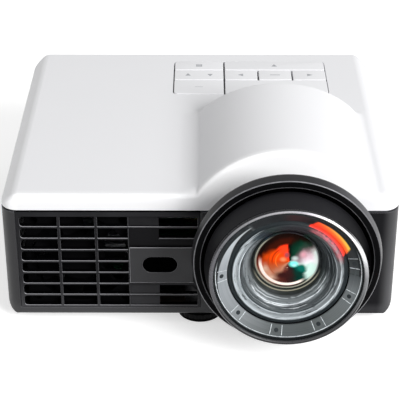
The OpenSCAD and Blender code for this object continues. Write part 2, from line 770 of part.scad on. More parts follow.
module chip_heat_sink() {
    y0 = engine_y[1] + 3.4;
    color("#b9bcc1") {
        block([11, y0, 16], [39, y0 + 2, 33.5]);
        block([lens_x - 4.6, engine_y[1] + 2.05, path_z - 5.6], [lens_x + 4.6, y0 + 0.1, path_z + 1.6]);
        for (i = [0:7]) block([11.2 + i * 3.8, y0 + 1.9, 16], [12.4 + i * 3.8, y0 + 10.5, 33.5]);
    }
}

// A light source facing +X: copper board, emitter and collimating lens
module led() {
    color("#b5713c") translate([-1.6, -7.5, -7.5]) cube([1.6, 15, 15]);
    color("#f2e27a") translate([0, -1.6, -1.6]) cube([0.7, 3.2, 3.2]);
    color("#d8e4e8") translate([0.75, 0, 0]) rotate([0, 90, 0]) cylinder(r1 = 2.2, r2 = 4.6, h = 4);
}

module led_modules() {
    translate([engine_x[0] - 0.05, path_y, path_z - 2]) led();
    translate([cross_x, engine_y[0] - 0.05, path_z - 2]) rotate([0, 0, 90]) led();
    translate([cross_x, engine_y[1] + 0.05, path_z - 2]) rotate([0, 0, -90]) led();
}

sink_x = [-45, -20.2];
sink_y = [-18, 34];
sink_z = [11.6, 35.5];

module heat_sink() {
    pitch = (sink_z[1] - sink_z[0] - 1) / (fin_count - 1);
    color("#c3c6cb") {
        block([sink_x[1] - 2.6, sink_y[0], sink_z[0]], [sink_x[1], sink_y[1], sink_z[1]]);
        for (i = [0:fin_count - 1])
            block([sink_x[0], sink_y[0], sink_z[0] + i * pitch], [sink_x[1] - 2.5, sink_y[1], sink_z[0] + i * pitch + 1]);
    }
}

module heat_pipes() {
    color("#b87333") for (y = [engine_y[0] - 3.8, engine_y[1] + 3.8])
        translate([sink_x[1], y, path_z - 2]) rotate([0, 90, 0]) cylinder(r = 2.1, h = 18.5);
}

// ---------- fans ----------

// Fan drawn about +Z: frame with a duct and a bearing seat held by four struts
module fan_frame() {
    difference() {
        translate([-fan_w / 2, -fan_w / 2, 0]) cube([fan_w, fan_w, fan_d]);
        translate([0, 0, -1]) cylinder(r = fan_w / 2 - 1, h = fan_d + 2);
        for (x = [-1, 1], y = [-1, 1]) translate([x * 12.6, y * 12.6, -1]) cylinder(r = 1.2, h = fan_d + 2);
    }
    difference() {
        union() {
            cylinder(r = 6, h = 1.2);
            for (a = [45:90:315]) rotate(a) translate([5.5, -0.8, 0]) cube([fan_w / 2 - 6, 1.6, 1.2]);
            cylinder(r = 2, h = 3);
        }
        translate([0, 0, -1]) cylinder(r = 1.05, h = 6);
    }
}

module fan_rotor() {
    difference() {
        translate([0, 0, 1.5]) cylinder(r = 7, h = fan_d - 1.9);
        translate([0, 0, 1]) cylinder(r = 6, h = fan_d - 2.4);
    }
    translate([0, 0, 0.4]) cylinder(r = 1, h = fan_d - 1.6);
    intersection() {
        for (i = [0:fan_blades - 1]) rotate(i * 360 / fan_blades)
            translate([10, 0, fan_d / 2 + 0.6]) rotate([38, 0, 0]) cube([7.2, 7, 0.7], center = true);
        ring(6.5, fan_w / 2 - 1.8, 1.7, fan_d - 0.6);
    }
}

module at_front_fan() { translate([front_fan[0], front_fan[1] + fan_d, front_fan[2]]) rotate([90, 0, 0]) children(); }
module at_side_fan() { translate([side_fan[0] - fan_d, side_fan[1], side_fan[2]]) rotate([0, 90, 0]) children(); }

module front_fan_frame() { color("#1a1a1b") at_front_fan() fan_frame(); }
module front_fan_rotor() { color("#232325") at_front_fan() fan_rotor(); }
module side_fan_frame() { color("#1a1a1b") at_side_fan() fan_frame(); }
module side_fan_rotor() { color("#232325") at_side_fan() fan_rotor(); }

// ---------- electronics ----------

module main_board() {
    color("#14532d") difference() {
        block([board_x[0], board_y[0], board_z], [board_x[1], board_y[1], board_top]);
        translate([0, tripod_y, board_z - 1]) cylinder(r = 6.4, h = 4);
        for (p = board_holes) translate([p[0], p[1], board_z - 1]) cylinder(r = 1.1, h = 4);
    }
}

module board_parts() {
    color("#2b2b2e") {
        block([12, -8, board_top], [26, 6, board_top + 1.6]);
        for (i = [0:2]) block([31, -14 + i * 10, board_top], [38, -6 + i * 10, board_top + 1.1]);
        block([12, 28, board_top], [20, 36, board_top + 1.2]);
    }
    color("#5a5c60") for (i = [0:3]) block([-15 + i * 8, -14, board_top], [-9.5 + i * 8, -8.5, board_top + 2.6]);
    color("#c0c2c6") for (i = [0:4]) translate([-14 + i * 6.5, 40, board_top]) cylinder(r = 2.4, h = 4.6);
}

module board_screws() {
    color("silver") for (p = board_holes) translate([p[0], p[1], board_top]) mirror([0, 0, 1]) {
        translate([0, 0, -1.3]) cylinder(r = 2, h = 1.3);
        cylinder(r = 0.88, h = board_t + 1.9);
    }
}

module dc_jack() {
    color("#0e0e10") difference() {
        block([jack_x - 4.5, y_back - 12, board_top], [jack_x + 4.5, y_back - 0.4, board_top + 10]);
        translate([jack_x, y_back + 1, board_top + 5.2]) rotate([90, 0, 0]) cylinder(r = 3, h = 10.4);
    }
    color("silver") translate([jack_x, y_back - 2.4, board_top + 5.2]) rotate([90, 0, 0]) cylinder(r = 0.8, h = 8);
}

// A flat metal socket with a tongue: middle x, outer width and height, depth, tongue thickness
module shell_socket(x, w, h, d, tongue, wide) {
    t = 0.4;
    z0 = board_top + 0.1;
    color("#c8cacd") difference() {
        block([x - w / 2, y_back - d, z0], [x + w / 2, y_back - 0.2, z0 + h]);
        block([x - w / 2 + t, y_back - d + 1.5, z0 + t], [x + w / 2 - t, y_back + 1, z0 + h - t]);
    }
    color("#0d0d0f") block([x - wide / 2, y_back - d + 1.4, z0 + h / 2 - tongue / 2],
                           [x + wide / 2, y_back - 1.6, z0 + h / 2 + tongue / 2]);
}

module av_sockets() {
    shell_socket(hdmi_x, 15, 5.5, 12, 1, 11.6);
    shell_socket(card_x, 14, 1.9, 14, 0.3, 0.8);
    shell_socket(port_x, 18, 4.8, 10, 1, 14.5);
    shell_socket(usb_x, 13.2, 5.8, 14, 1.9, 11);
}

module audio_jack() {
    color("#0e0e10") difference() {
        block([audio_x - 3.5, y_back - 14, board_top], [audio_x + 3.5, y_back - 0.6, board_top + 6.4]);
        translate([audio_x, y_back + 1, audio_z]) rotate([90, 0, 0]) cylinder(r = audio_r, h = 13.6);
    }
}

module speaker() {
    color("#1d1d1f") translate([half_w - wall - 0.3, speaker_y, 21]) rotate([0, -90, 0]) {
        difference() {
            linear_extrude(5) rounded_rect(16, 26, 3);
            translate([0, 0, -0.1]) linear_extrude(1.2) rounded_rect(13, 23, 2.5);
        }
        cylinder(r1 = 2, r2 = 5, h = 1.6);
        translate([0, 0, 4.5]) cylinder(r = 5.5, h = 2.4);
    }
}

// ---------- one node at a time ----------

top_cover();
lower_case();
front_grille();
sensor_plate();
sensor_window();
sensor_board();
rear_panel();
ir_window();
case_screws();
rear_feet();
tripod_insert();
foot_pad();
foot_wheel();
key_menu();
key_volume();
key_power();
key_up();
key_left();
key_enter();
key_right();
key_down();
keypad_frame();
keypad_board();
lens_horn();
lens_barrel();
lens_nose();
lens_trim_ring();
lens_scale_ring();
front_lens();
lens_baffle();
inner_lens();
inner_lens_cell();
guide_rods();
focus_carriage();
focus_lens();
focus_screw();
focus_motor();
lens_mount();
engine_housing();
engine_lid();
dichroic_plates();
relay_lenses();
prism();
mirror_chip();
chip_board();
chip_heat_sink();
led_modules();
heat_sink();
heat_pipes();
front_fan_frame();
front_fan_rotor();
side_fan_frame();
side_fan_rotor();
main_board();
board_parts();
board_screws();
dc_jack();
av_sockets();
audio_jack();
speaker();
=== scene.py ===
import math

import bmesh
import bpy
import numpy as np
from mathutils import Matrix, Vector
from mathutils.geometry import tessellate_polygon


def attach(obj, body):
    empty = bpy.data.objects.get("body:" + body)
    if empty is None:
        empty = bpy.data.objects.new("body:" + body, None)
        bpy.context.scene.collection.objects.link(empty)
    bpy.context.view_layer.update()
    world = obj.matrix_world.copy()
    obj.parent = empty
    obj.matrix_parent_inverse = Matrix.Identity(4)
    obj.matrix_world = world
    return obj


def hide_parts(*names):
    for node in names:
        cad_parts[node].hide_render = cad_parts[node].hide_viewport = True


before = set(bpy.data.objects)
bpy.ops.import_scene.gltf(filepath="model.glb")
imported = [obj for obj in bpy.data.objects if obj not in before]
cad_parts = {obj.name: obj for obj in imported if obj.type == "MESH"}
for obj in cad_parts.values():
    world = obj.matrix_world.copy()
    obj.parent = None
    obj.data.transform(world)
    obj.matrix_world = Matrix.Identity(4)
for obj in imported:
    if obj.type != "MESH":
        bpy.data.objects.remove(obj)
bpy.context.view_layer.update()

# Sizes in millimetres, the same as the CAD source's
MM = 0.001
HALF_W, DEPTH, CORNER_R, WALL = 56.0, 98.0, 5.0, 2.0
Y_FRONT, Y_BACK = -36.25, 61.75
Z_SPLIT, Z_TOP = 37.75, 42.75
LENS_X, LENS_Z, LENS_REACH = 23.65, 31.35, 25.5
NECK_R, HORN_R, NOSE_R, INNER_R = 16.6, 25.95, 21.25, 8.8
BULGE_R, BULGE_Z, BULGE_FOOT, BULGE_LEAN = 29.5, 26.75, 15.35, 0.474
SLAT_PITCH, SLAT_ROWS = 3.76, 8
SLOT_TOP, SLOT_H, PANEL_BOTTOM = 35.6, 3.06, 5.52
GRILLE_X = (-50.75, -39.8, -29.3, -20.4)
RIGHT_SLOT_X = (-11.6, -0.7)
SENSOR_X, SENSOR_Z, WINDOW_C = (-20.1, -1.9), (14.05, 25.85), (-11.4, 20.05)
WINDOW_W, WINDOW_H = 9.9, 5.1
PAD_X = (-8.8, 7.6, 18.65, 29.75, 40.9)
PAD_Y = (29.45, 40.25, 48.05, 55.25)
PAD_R, CAP_TOP, CAP_BOTTOM = 2.2, 42.9, 40.65
# A meeting of faces sharper than this many degrees is shaded as an edge
SHARP = 32
# Colour ramps over the lens end at this radius
RAMP_R = 20.0


# ---------- places: (u, v, w) to millimetres in the frame, w outward ----------

def on_top(u, v, w):
    return (u, v, w)


def on_front(u, v, w):
    return (u, Y_FRONT - w, v)


def on_lens(u, v, w):
    return (LENS_X + u, Y_FRONT - w, LENS_Z + v)


# ---------- outlines ----------

def soft(points, radius, steps=4):
    """A closed outline with its corners rounded. A point may carry a radius of its own."""
    out, count = [], len(points)
    for i, point in enumerate(points):
        corner = Vector(point[:2])
        r = point[2] if len(point) > 2 else radius
        before = Vector(points[i - 1][:2]) - corner
        after = Vector(points[(i + 1) % count][:2]) - corner
        angle = before.angle(after)
        if r <= 0 or angle > math.radians(179):
            out.append(tuple(corner))
            continue
        run = min(r / math.tan(angle / 2), 0.48 * before.length, 0.48 * after.length)
        a, b = corner + before.normalized() * run, corner + after.normalized() * run
        for k in range(steps + 1):
            t = k / steps
            out.append(tuple((1 - t) ** 2 * a + 2 * t * (1 - t) * corner + t ** 2 * b))
    return out


def arc(cx, cy, r, start, end, count):
    """Points on an arc, angles in degrees."""
    turns = [math.radians(start + (end - start) * i / count) for i in range(count + 1)]
    return [(cx + r * math.cos(a), cy + r * math.sin(a)) for a in turns]


def rect(x0, x1, y0, y1, radii=0.0, steps=4):
    """A rectangle, counter-clockwise from its low corner, with one corner radius or four."""
    r = radii if isinstance(radii, tuple) else (radii,) * 4
    corners = [(x0, y0, r[0]), (x1, y0, r[1]), (x1, y1, r[2]), (x0, y1, r[3])]
    return soft(corners, 0, steps)


def stadium(cx, cy, w, h, count=16):
    r = h / 2
    return arc(cx + w / 2 - r, cy, r, -90, 90, count) + arc(cx - w / 2 + r, cy, r, 90, 270, count)


def area(loop):
    return sum(a[0] * b[1] - b[0] * a[1] for a, b in zip(loop, loop[1:] + loop[:1])) / 2


def inset(loop, distance):
    """The loop moved to its left by a distance, corners mitred."""
    out, count = [], len(loop)
    for i in range(count):
        (x0, y0), (x1, y1), (x2, y2) = loop[i - 1], loop[i], loop[(i + 1) % count]
        a, b = math.hypot(x1 - x0, y1 - y0), math.hypot(x2 - x1, y2 - y1)
        n0, n1 = (-(y1 - y0) / a, (x1 - x0) / a), (-(y2 - y1) / b, (x2 - x1) / b)
        k = distance / max(0.3, 1 + n0[0] * n1[0] + n0[1] * n1[1])
        out.append((x1 + k * (n0[0] + n1[0]), y1 + k * (n0[1] + n1[1])))
    return out


# ---------- solids, each as (points in millimetres, faces) ----------

def plate(loops, w0, w1, place, bevel, draft=0.0, steps=3):
    """A closed plate from an outline and its holes, with a rounded front rim and a draft to the back."""
    loops = [list(loop) for loop in loops]
    for i, loop in enumerate(loops):
        if (area(loop) > 0) != (i == 0):
            loop.reverse()
    rims = [(draft, w0)]
    for k in range(steps + 1 if bevel > 0 else 1):
        t = math.pi / 2 * k / steps
        rims.append((bevel * (1 - math.cos(t)), w1 - bevel * (1 - math.sin(t))))
    points, faces, starts = [], [], []
    for depth, level in rims:
        starts.append(len(points))
        for loop in loops:
            points += [place(u, v, level) for u, v in (inset(loop, depth) if depth else loop)]
    for low, high in zip(starts, starts[1:]):
        at = 0
        for loop in loops:
            count = len(loop)
            for i in range(count):
                j = (i + 1) % count
                faces.append((low + at + i, low + at + j, high + at + j, high + at + i))
            at += count
    caps = {0: rims[0][0], len(starts) - 1: rims[-1][0]}
    for k, depth in caps.items():
        flat = [[Vector((u, v, 0)) for u, v in inset(loop, depth)] for loop in loops]
        faces += [tuple(starts[k] + i for i in tri) for tri in tessellate_polygon(flat)]
    return points, faces


def lathe(outline, place, segments, centre=(0, 0)):
    """A closed outline of (radius, level) turned about its axis."""
    points, faces, count = [], [], len(outline)
    for s in range(segments):
        a = 2 * math.pi * s / segments
        points += [place(centre[0] + r * math.cos(a), centre[1] + r * math.sin(a), w) for r, w in outline]
    for s in range(segments):
        here, there = s * count, (s + 1) % segments * count
        for i in range(count):
            j = (i + 1) % count
            faces.append((here + i, here + j, there + j, there + i))
    return points, faces


def spread(*marks):
    """Grid lines from a list of place, step, place, step, ... place."""
    parts = []
    for a, step, b in zip(marks[0::2], marks[1::2], marks[2::2]):
        parts.append(np.linspace(a, b, max(1, round((b - a) / step)) + 1)[:-1])
    return np.concatenate(parts + [marks[-1:]])


def slope(field, point, tiny=0.01):
    """The direction in which a distance grows."""
    ends = [field(*(point + e).T) - field(*(point - e).T) for e in tiny * np.eye(3)]
    return np.stack(ends, 1) / (2 * tiny)


def skin(field, *axes):
    """Quads over the surface where field is zero (surface nets), each point moved onto that surface."""
    value = field(*np.meshgrid(*axes, indexing="ij"))
    dims = np.array(value.shape)
    flat = lambda cell: (cell[:, 0] * dims[1] + cell[:, 1]) * dims[2] + cell[:, 2]
    total, count, quads = np.zeros((value.size, 3)), np.zeros(value.size), []
    for axis in range(3):
        a = np.take(value, range(dims[axis] - 1), axis)
        b = np.take(value, range(1, dims[axis]), axis)
        at = np.argwhere((a < 0) != (b < 0))
        fa, fb = a[tuple(at.T)], b[tuple(at.T)]
        spot = at.astype(float)
        spot[:, axis] += fa / (fa - fb)
        u, v = (axis + 1) % 3, (axis + 2) % 3
        ring = []
        for du, dv in ((0, 0), (1, 0), (1, 1), (0, 1)):
            cell = at.copy()
            cell[:, u] -= du
            cell[:, v] -= dv
            ring.append(flat(cell))
            count += np.bincount(ring[-1], minlength=value.size)
            for k in range(3):
                total[:, k] += np.bincount(ring[-1], spot[:, k], minlength=value.size)
        quad = np.stack(ring, 1)
        quads.append(np.where((fa < 0)[:, None], quad, quad[:, ::-1]))
    used = np.flatnonzero(count)
    middle = total[used] / count[used, None]
    point = np.stack([np.interp(middle[:, k], np.arange(dims[k]), axes[k]) for k in range(3)], 1)
    index = np.zeros(value.size, int)
    index[used] = np.arange(len(used))
    for _ in range(4):
        way = slope(field, point)
        move = (field(*point.T) / np.maximum((way ** 2).sum(1), 0.2))[:, None] * way
        point -= np.clip(move, -0.4, 0.4)
    return [tuple(p) for p in point], [tuple(int(i) for i in q) for q in index[np.concatenate(quads)]]


def true_normals(obj, field, limit=0.8):
    """Shades a piece by the slope of its field wherever a face follows it."""
    mesh = obj.data
    point = np.zeros(3 * len(mesh.vertices))
    mesh.vertices.foreach_get("co", point)
    way = slope(field, point.reshape(-1, 3) / MM)
    way /= np.maximum(np.linalg.norm(way, axis=1), 1e-6)[:, None]
    corner, face = np.zeros(len(mesh.loops), int), np.zeros(3 * len(mesh.polygons))
    mesh.loops.foreach_get("vertex_index", corner)
    mesh.polygons.foreach_get("normal", face)
    sizes = np.zeros(len(mesh.polygons), int)
    mesh.polygons.foreach_get("loop_total", sizes)
    own = np.repeat(face.reshape(-1, 3), sizes, axis=0)
    soft_way = way[corner]
    follows = (own * soft_way).sum(1) > limit
    mesh.normals_split_custom_set([tuple(n) for n in np.where(follows[:, None], soft_way, own)])


# ---------- pieces ----------

def add(name, data):
    """A new object in the scene."""
    obj = bpy.data.objects.new(name, data)
    bpy.context.scene.collection.objects.link(obj)
    return obj


def mesh_of(name, solids):
    """One mesh from closed solids. A solid may carry the number of its own material."""
    points, faces, mats = [], [], []
    for solid in solids:
        faces += [tuple(i + len(points) for i in face) for face in solid[1]]
        mats += [solid[2] if len(solid) > 2 else 0] * len(solid[1])
        points += [tuple(c * MM for c in point) for point in solid[0]]
    mesh = bpy.data.meshes.new(name)
    mesh.from_pydata(points, [], faces)
    mesh.polygons.foreach_set("material_index", mats)
    bm = bmesh.new()
    bm.from_mesh(mesh)
    bmesh.ops.remove_doubles(bm, verts=bm.verts, dist=1e-8)
    bmesh.ops.recalc_face_normals(bm, faces=bm.faces)
    bm.to_mesh(mesh)
    bm.free()
    return mesh


def piece(name, solids, looks, slot, *stands_for, body="housing", sharp=SHARP):
    """A visible piece, with its looks by name. It takes the place of the CAD nodes it stands for."""
    mesh = mesh_of(name, solids)
    mesh.polygons.foreach_set("use_smooth", [True] * len(mesh.polygons))
    mesh.set_sharp_from_angle(angle=math.radians(sharp))
    for look in looks:
        mesh.materials.append(LOOKS[look])
    obj = add(name, mesh)
    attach(obj, body)
    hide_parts(*stands_for)
    return obj


def cut(obj, solids):
    """Takes closed solids out of a piece for good. Removing a mesh removes the tool that used it."""
    tool = add("tool", mesh_of("tool", solids))
    step = obj.modifiers.new("cut", "BOOLEAN")
    step.operation, step.solver, step.object = "DIFFERENCE", "EXACT", tool
    done = bpy.data.meshes.new_from_object(obj.evaluated_get(bpy.context.evaluated_depsgraph_get()))
    obj.modifiers.clear()
    old, obj.data = obj.data, done
    for mesh in (old, tool.data):
        bpy.data.meshes.remove(mesh)
    done.set_sharp_from_angle(angle=math.radians(SHARP))


# ---------- materials, kept by name ----------

LOOKS = {}


def srgb(*values):
    """A colour from its 0-255 display values."""
    parts = (value / 255 for value in values)
    return tuple(c / 12.92 if c <= 0.04045 else ((c + 0.055) / 1.055) ** 2.4 for c in parts)


def shade(color, factor):
    return tuple(c * factor for c in color)


class Nodes:
    """A node tree in the making. A value may be a number, a colour or another node's socket."""

    def __init__(self, tree):
        self.tree = tree

    def feed(self, socket, value):
        if isinstance(value, bpy.types.NodeSocket):
            self.tree.links.new(value, socket)
        elif isinstance(value, tuple) and len(value) == 3 and socket.type == "RGBA":
            socket.default_value = (*value, 1)
        else:
            socket.default_value = value

    def node(self, kind, inputs=None, **settings):
        made = self.tree.nodes.new("ShaderNode" + kind)
        for key, value in settings.items():
            setattr(made, key, value)
        for key, value in (inputs or {}).items():
            self.feed(made.inputs[key], value)
        return made

    def math(self, operation, a, b=0.0, clamp=False):
        return self.node("Math", {0: a, 1: b}, operation=operation, use_clamp=clamp).outputs[0]

    def times(self, *values):
        out = values[0]
        for value in values[1:]:
            out = self.math("MULTIPLY", out, value)
        return out

    def length(self, a, b):
        return self.math("SQRT", self.math("ADD", self.times(a, a), self.times(b, b)))

    def span(self, value, low, high, start=0.0, end=1.0, smooth=False):
        """From low where the value is at start to high where it is at end, and level beyond both."""
        kind = "SMOOTHSTEP" if smooth else "LINEAR"
        made = self.node("MapRange", {0: value, 1: start, 2: end, 3: low, 4: high}, interpolation_type=kind)
        return made.outputs[0]

    def rise(self, value, start, end, unit=1.0):
        return self.span(value, 0, 1, start * unit, end * unit, True)

    def fall(self, value, start, end, unit=1.0):
        return self.span(value, 1, 0, start * unit, end * unit, True)

    def seen(self):
        """One for what the camera sees, also through glass or in a glossy face."""
        rays = self.node("LightPath").outputs
        direct = self.math("MAXIMUM", rays["Is Camera Ray"], rays["Is Glossy Ray"])
        return self.math("MAXIMUM", direct, rays["Is Transmission Ray"])


class Look(Nodes):
    """A material in the making. Sizes in millimetres."""

    def __init__(self, name, **sockets):
        LOOKS[name] = bpy.data.materials.new(name)
        LOOKS[name].use_nodes = True
        super().__init__(LOOKS[name].node_tree)
        self.shader = next(n for n in self.tree.nodes if n.type == "BSDF_PRINCIPLED")
        self.set(**sockets)
        self.place = self.node("TexCoord").outputs["Object"]

    def set(self, **sockets):
        """Feeds the shader's inputs, each named with _ for a space."""
        for key, value in sockets.items():
            self.feed(self.shader.inputs[key.replace("_", " ")], value)

    def axes(self, vector=None):
        return self.node("SeparateXYZ", {0: vector or self.place}).outputs

    def noise(self, size, detail, stretch=None):
        place = self.place
        if stretch:
            place = self.node("Mapping", {"Vector": place, "Scale": stretch}).outputs[0]
        return self.node("TexNoise", {"Vector": place, "Scale": 1 / (size * MM), "Detail": detail}).outputs[0]

    def streaks(self, at, scale, detail, roughness=0.5):
        """Noise drawn out along the lens's circles."""
        place = self.node("CombineXYZ", dict(enumerate(at))).outputs[0]
        inputs = {"Vector": place, "Scale": scale, "Detail": detail, "Roughness": roughness}
        return self.node("TexNoise", inputs).outputs[0]

    def stirred(self, value, size, detail, much):
        """A value moved up and down by noise."""
        noise = self.math("SUBTRACT", self.noise(size, detail), 0.5)
        return self.math("ADD", value, self.times(noise, much))

    def mix(self, share, a, b, blend="MIX"):
        made = self.node("Mix", {0: share, 6: a, 7: b}, data_type="RGBA", blend_type=blend)
        return made.outputs[2]

    def lay(self, color, tint, *masks):
        """Covers a colour by a tint, a socket or 0-255 display values, as far as all the masks are one."""
        tint = srgb(*tint) if isinstance(tint, tuple) else tint
        return self.mix(self.times(*masks), color, tint)

    def ramp(self, value, stops, full=1.0):
        """A colour for each value from 0 to 1. A stop is its place, out of full, and 0-255 display values."""
        made = self.node("ValToRGB", {0: value})
        band = made.color_ramp
        band.elements.remove(band.elements[-1])
        band.elements[0].position = stops[0][0] / full
        band.elements[0].color = (*srgb(*stops[0][1:]), 1)
        for place, *color in stops[1:]:
            band.elements.new(place / full).color = (*srgb(*color), 1)
        return made.outputs[0]

    def bump(self, height, depth, normal=None):
        inputs = {"Height": height, "Distance": depth * MM, "Strength": 1.0}
        if normal is not None:
            inputs["Normal"] = normal
        self.set(Normal=self.node("Bump", inputs).outputs[0])

    def edges(self, radius):
        """(rounded normal, how much an edge there is): the rim of every sharp edge, within a radius."""
        rounded = self.node("Bevel", {"Radius": radius * MM}, samples=4).outputs[0]
        plain = self.node("NewGeometry").outputs["Normal"]
        dot = self.node("VectorMath", {0: rounded, 1: plain}, operation="DOT_PRODUCT").outputs["Value"]
        return rounded, self.span(dot, 1.0, 0.0, 0.85, 1.0)

    def edge_wear_and_highlight(self, tint, lit, normal, rim, most=1.0):
        """Lays a paler colour on the edges that face up or sideways: wear, with a painted highlight where the
        light falls on them.
        """
        x, _, z = self.axes(normal)
        up = self.math("ADD", self.times(z, 1.25), self.times(self.math("ABSOLUTE", x), 0.75))
        return self.mix(self.times(rim, self.span(up, 0, most, 0.25, 0.75, True)), tint, lit)

    def angle(self, u, v):
        """The direction of (u, v), in turns from the right."""
        turn = self.math("DIVIDE", self.math("ARCTAN2", v, u), 2 * math.pi)
        return self.math("FRACT", self.math("ADD", turn, 1.0))

    def polar(self):
        """(angle in turns from the right, radius, u, v) about the lens axis."""
        x, _, z = self.axes()
        u = self.math("SUBTRACT", x, LENS_X * MM)
        v = self.math("SUBTRACT", z, LENS_Z * MM)
        radius = self.math("DIVIDE", self.length(u, v), MM)
        return self.angle(u, v), radius, self.math("DIVIDE", u, MM), self.math("DIVIDE", v, MM)

    def turned(self, turn, start, stop, fade):
        """One between two angles in degrees, counted on from start, fading over some degrees."""
        at = self.math("FRACT", self.math("ADD", turn, (720 - start + fade) / 360))
        width = (stop - start) % 360
        return self.times(self.rise(at, 0, fade / 180), self.fall(at, width / 360, (width + 2 * fade) / 360))

    def ringed(self, radius, inner, outer, fade):
        """One between two radii."""
        return self.times(self.rise(radius, inner - fade, inner + fade),
                          self.fall(radius, outer - fade, outer + fade))

    def glow(self, color, share):
        """Makes the piece glow in its own colour: painted light that keeps it readable where it stands in a
        recess.
        """
        self.set(Base_Color=color, Emission_Color=color, Emission_Strength=share)


# ---------- looks ----------

WHITE = (0.83, 0.832, 0.85)


def plastic(name, color, rough, grain=0.3, depth=0.006, gloss=0.5, edge=0.0, lit=None, blotch=0.05, coat=0.0):
    """Moulded plastic: spark-eroded grain, slow unevenness in colour and gloss, and paler upper edges for
    wear and a painted highlight.
    """
    look = Look(name, Specular_IOR_Level=gloss, Coat_Weight=coat, Coat_Roughness=0.12)
    tint = look.mix(look.noise(23, 3), shade(color, 1 - blotch), shade(color, 1 + blotch))
    sheen = look.span(look.noise(7, 4), rough * 0.85, rough * 1.15, 0.25, 0.75)
    normal = None
    if edge:
        normal, rim = look.edges(edge)
        if lit:
            tint = look.edge_wear_and_highlight(tint, lit, normal, rim)
        sheen = look.math("SUBTRACT", sheen, look.times(rim, rough * 0.3), True)
    look.set(Base_Color=tint, Roughness=sheen)
    if depth:
        look.bump(look.noise(grain, 2), depth, normal)


def graded(name, high, low, gloss=0.25, top=37):
    """Black plastic of the front panel, with painted light that makes it paler from top down to its foot, and
    with paler flecks.
    """
    look = Look(name, Specular_IOR_Level=gloss)
    z = look.axes()[2]
    # painted light: paler from the top down to the foot
    tint = look.mix(look.span(z, 1, 0, 5 * MM, top * MM), srgb(*high), srgb(*low))
    tint = look.lay(tint, (70, 70, 74), look.span(look.noise(9, 4), 0, 0.12, 0.3, 0.7))
    look.set(Base_Color=tint, Roughness=look.span(look.noise(5, 4), 0.34, 0.48, 0.3, 0.7))
    look.bump(look.noise(0.28, 2), 0.006)


def cover_look():
    """The cover's white, with painted light over the lens and on the left slope, and painted shade low at the
    left of its front.
    """
    look = Look("cover_white", Specular_IOR_Level=0.35)
    x, y, z = look.axes()
    tint = look.mix(look.noise(23, 3), shade(WHITE, 0.992), shade(WHITE, 1.008))
    # painted light on the front face over the lens
    face = look.times(look.fall(y, Y_FRONT + 0.8, Y_FRONT + 3.2, MM), look.rise(z, 40, 45, MM))
    tint = look.mix(face, tint, (0.97, 0.97, 0.98))
    # painted shade low at the left of the front
    painted_shade_strip = look.times(look.span(z, 1, 0, 40 * MM, 42.5 * MM), look.fall(x, -14, -2, MM))
    painted_shade_strip = look.times(look.fall(y, Y_FRONT + 1, Y_FRONT + 3, MM), painted_shade_strip)
    tint = look.mix(painted_shade_strip, tint, (0.74, 0.74, 0.75))
    # painted light on the left slope
    tint = look.mix(look.fall(x, 3 - HALF_W, 5.5 - HALF_W, MM), tint, (0.92, 0.922, 0.935))
    look.set(Base_Color=tint, Roughness=look.span(look.noise(7, 4), 0.31, 0.41, 0.25, 0.75))
    look.bump(look.noise(0.35, 2), 0.002)


def case_look():
    """The case's black, with painted light: painted shade beside the horn, a painted highlight at the right
    front corner, and a paler front foot, a painted reflection of the floor.
    """
    look = Look("case_black")
    x, y, z = look.axes()
    tint = look.mix(look.noise(23, 3), srgb(33, 33, 35), srgb(36, 36, 38))
    near = look.span(y, 1, 0, (Y_FRONT + 1) * MM, (Y_FRONT + 6) * MM)
    # painted shade on the front beside the horn
    painted_shade = look.times(look.span(x, 0, 1, 30 * MM, 40 * MM), look.fall(x, 51, 53.6, MM))
    painted_shade = look.times(near, painted_shade)
    tint = look.lay(tint, (27, 27, 29), painted_shade)
    # painted highlight on the right front corner, weaker higher up
    pale = look.span(z, 0.8, 0.35, 12 * MM, 36 * MM)
    tint = look.lay(tint, (64, 64, 67), near, look.rise(x, 52.5, 55, MM), pale)
    # painted reflection of the floor along the front's foot
    tint = look.lay(tint, (50, 50, 52), near, look.span(z, 1, 0, 5.2 * MM, 7.2 * MM))
    normal, rim = look.edges(0.5)
    tint = look.edge_wear_and_highlight(tint, srgb(96, 96, 100), normal, rim, 0.8)
    look.set(Base_Color=tint, Roughness=look.span(look.noise(7, 4), 0.34, 0.46, 0.25, 0.75))
    look.set(Specular_IOR_Level=look.span(painted_shade, 0.3, 0.02))
    look.bump(look.noise(0.28, 2), 0.006, normal)


def metal(name, color, rough, stretch=None, size=0.4, depth=0.002, edge=0.0):
    """Bare metal with tool marks, drawn out if there is a stretch, and small stains."""
    look = Look(name, Metallic=1.0)
    marks = look.noise(size, 3, stretch)
    tint = look.mix(look.noise(5, 4), shade(color, 0.9), shade(color, 1.04))
    look.set(Base_Color=tint, Roughness=look.span(marks, rough * 0.7, rough * 1.4, 0.3, 0.7))
    look.bump(marks, depth, look.edges(edge)[0] if edge else None)


def clear(name, tint, shine):
    """Thin clear glass: what is behind shows through it, with a sheen where it is seen from the side."""
    look = Look(name)
    through = look.node("BsdfTransparent", {"Color": tint})
    rough = look.span(look.noise(9, 3), 0.05, 0.125)
    gloss = look.node("BsdfGlossy", {"Color": (1, 1, 1), "Roughness": rough})
    fresnel = look.node("Fresnel", {"IOR": shine}).outputs[0]
    sheen = look.span(fresnel, 0, 0.5, 0.01, 0.5)
    both = look.node("MixShader", {0: sheen, 1: through.outputs[0], 2: gloss.outputs[0]})
    out = next(n for n in look.tree.nodes if n.type == "OUTPUT_MATERIAL")
    look.feed(out.inputs["Surface"], both.outputs[0])
    look.tree.nodes.remove(look.shader)


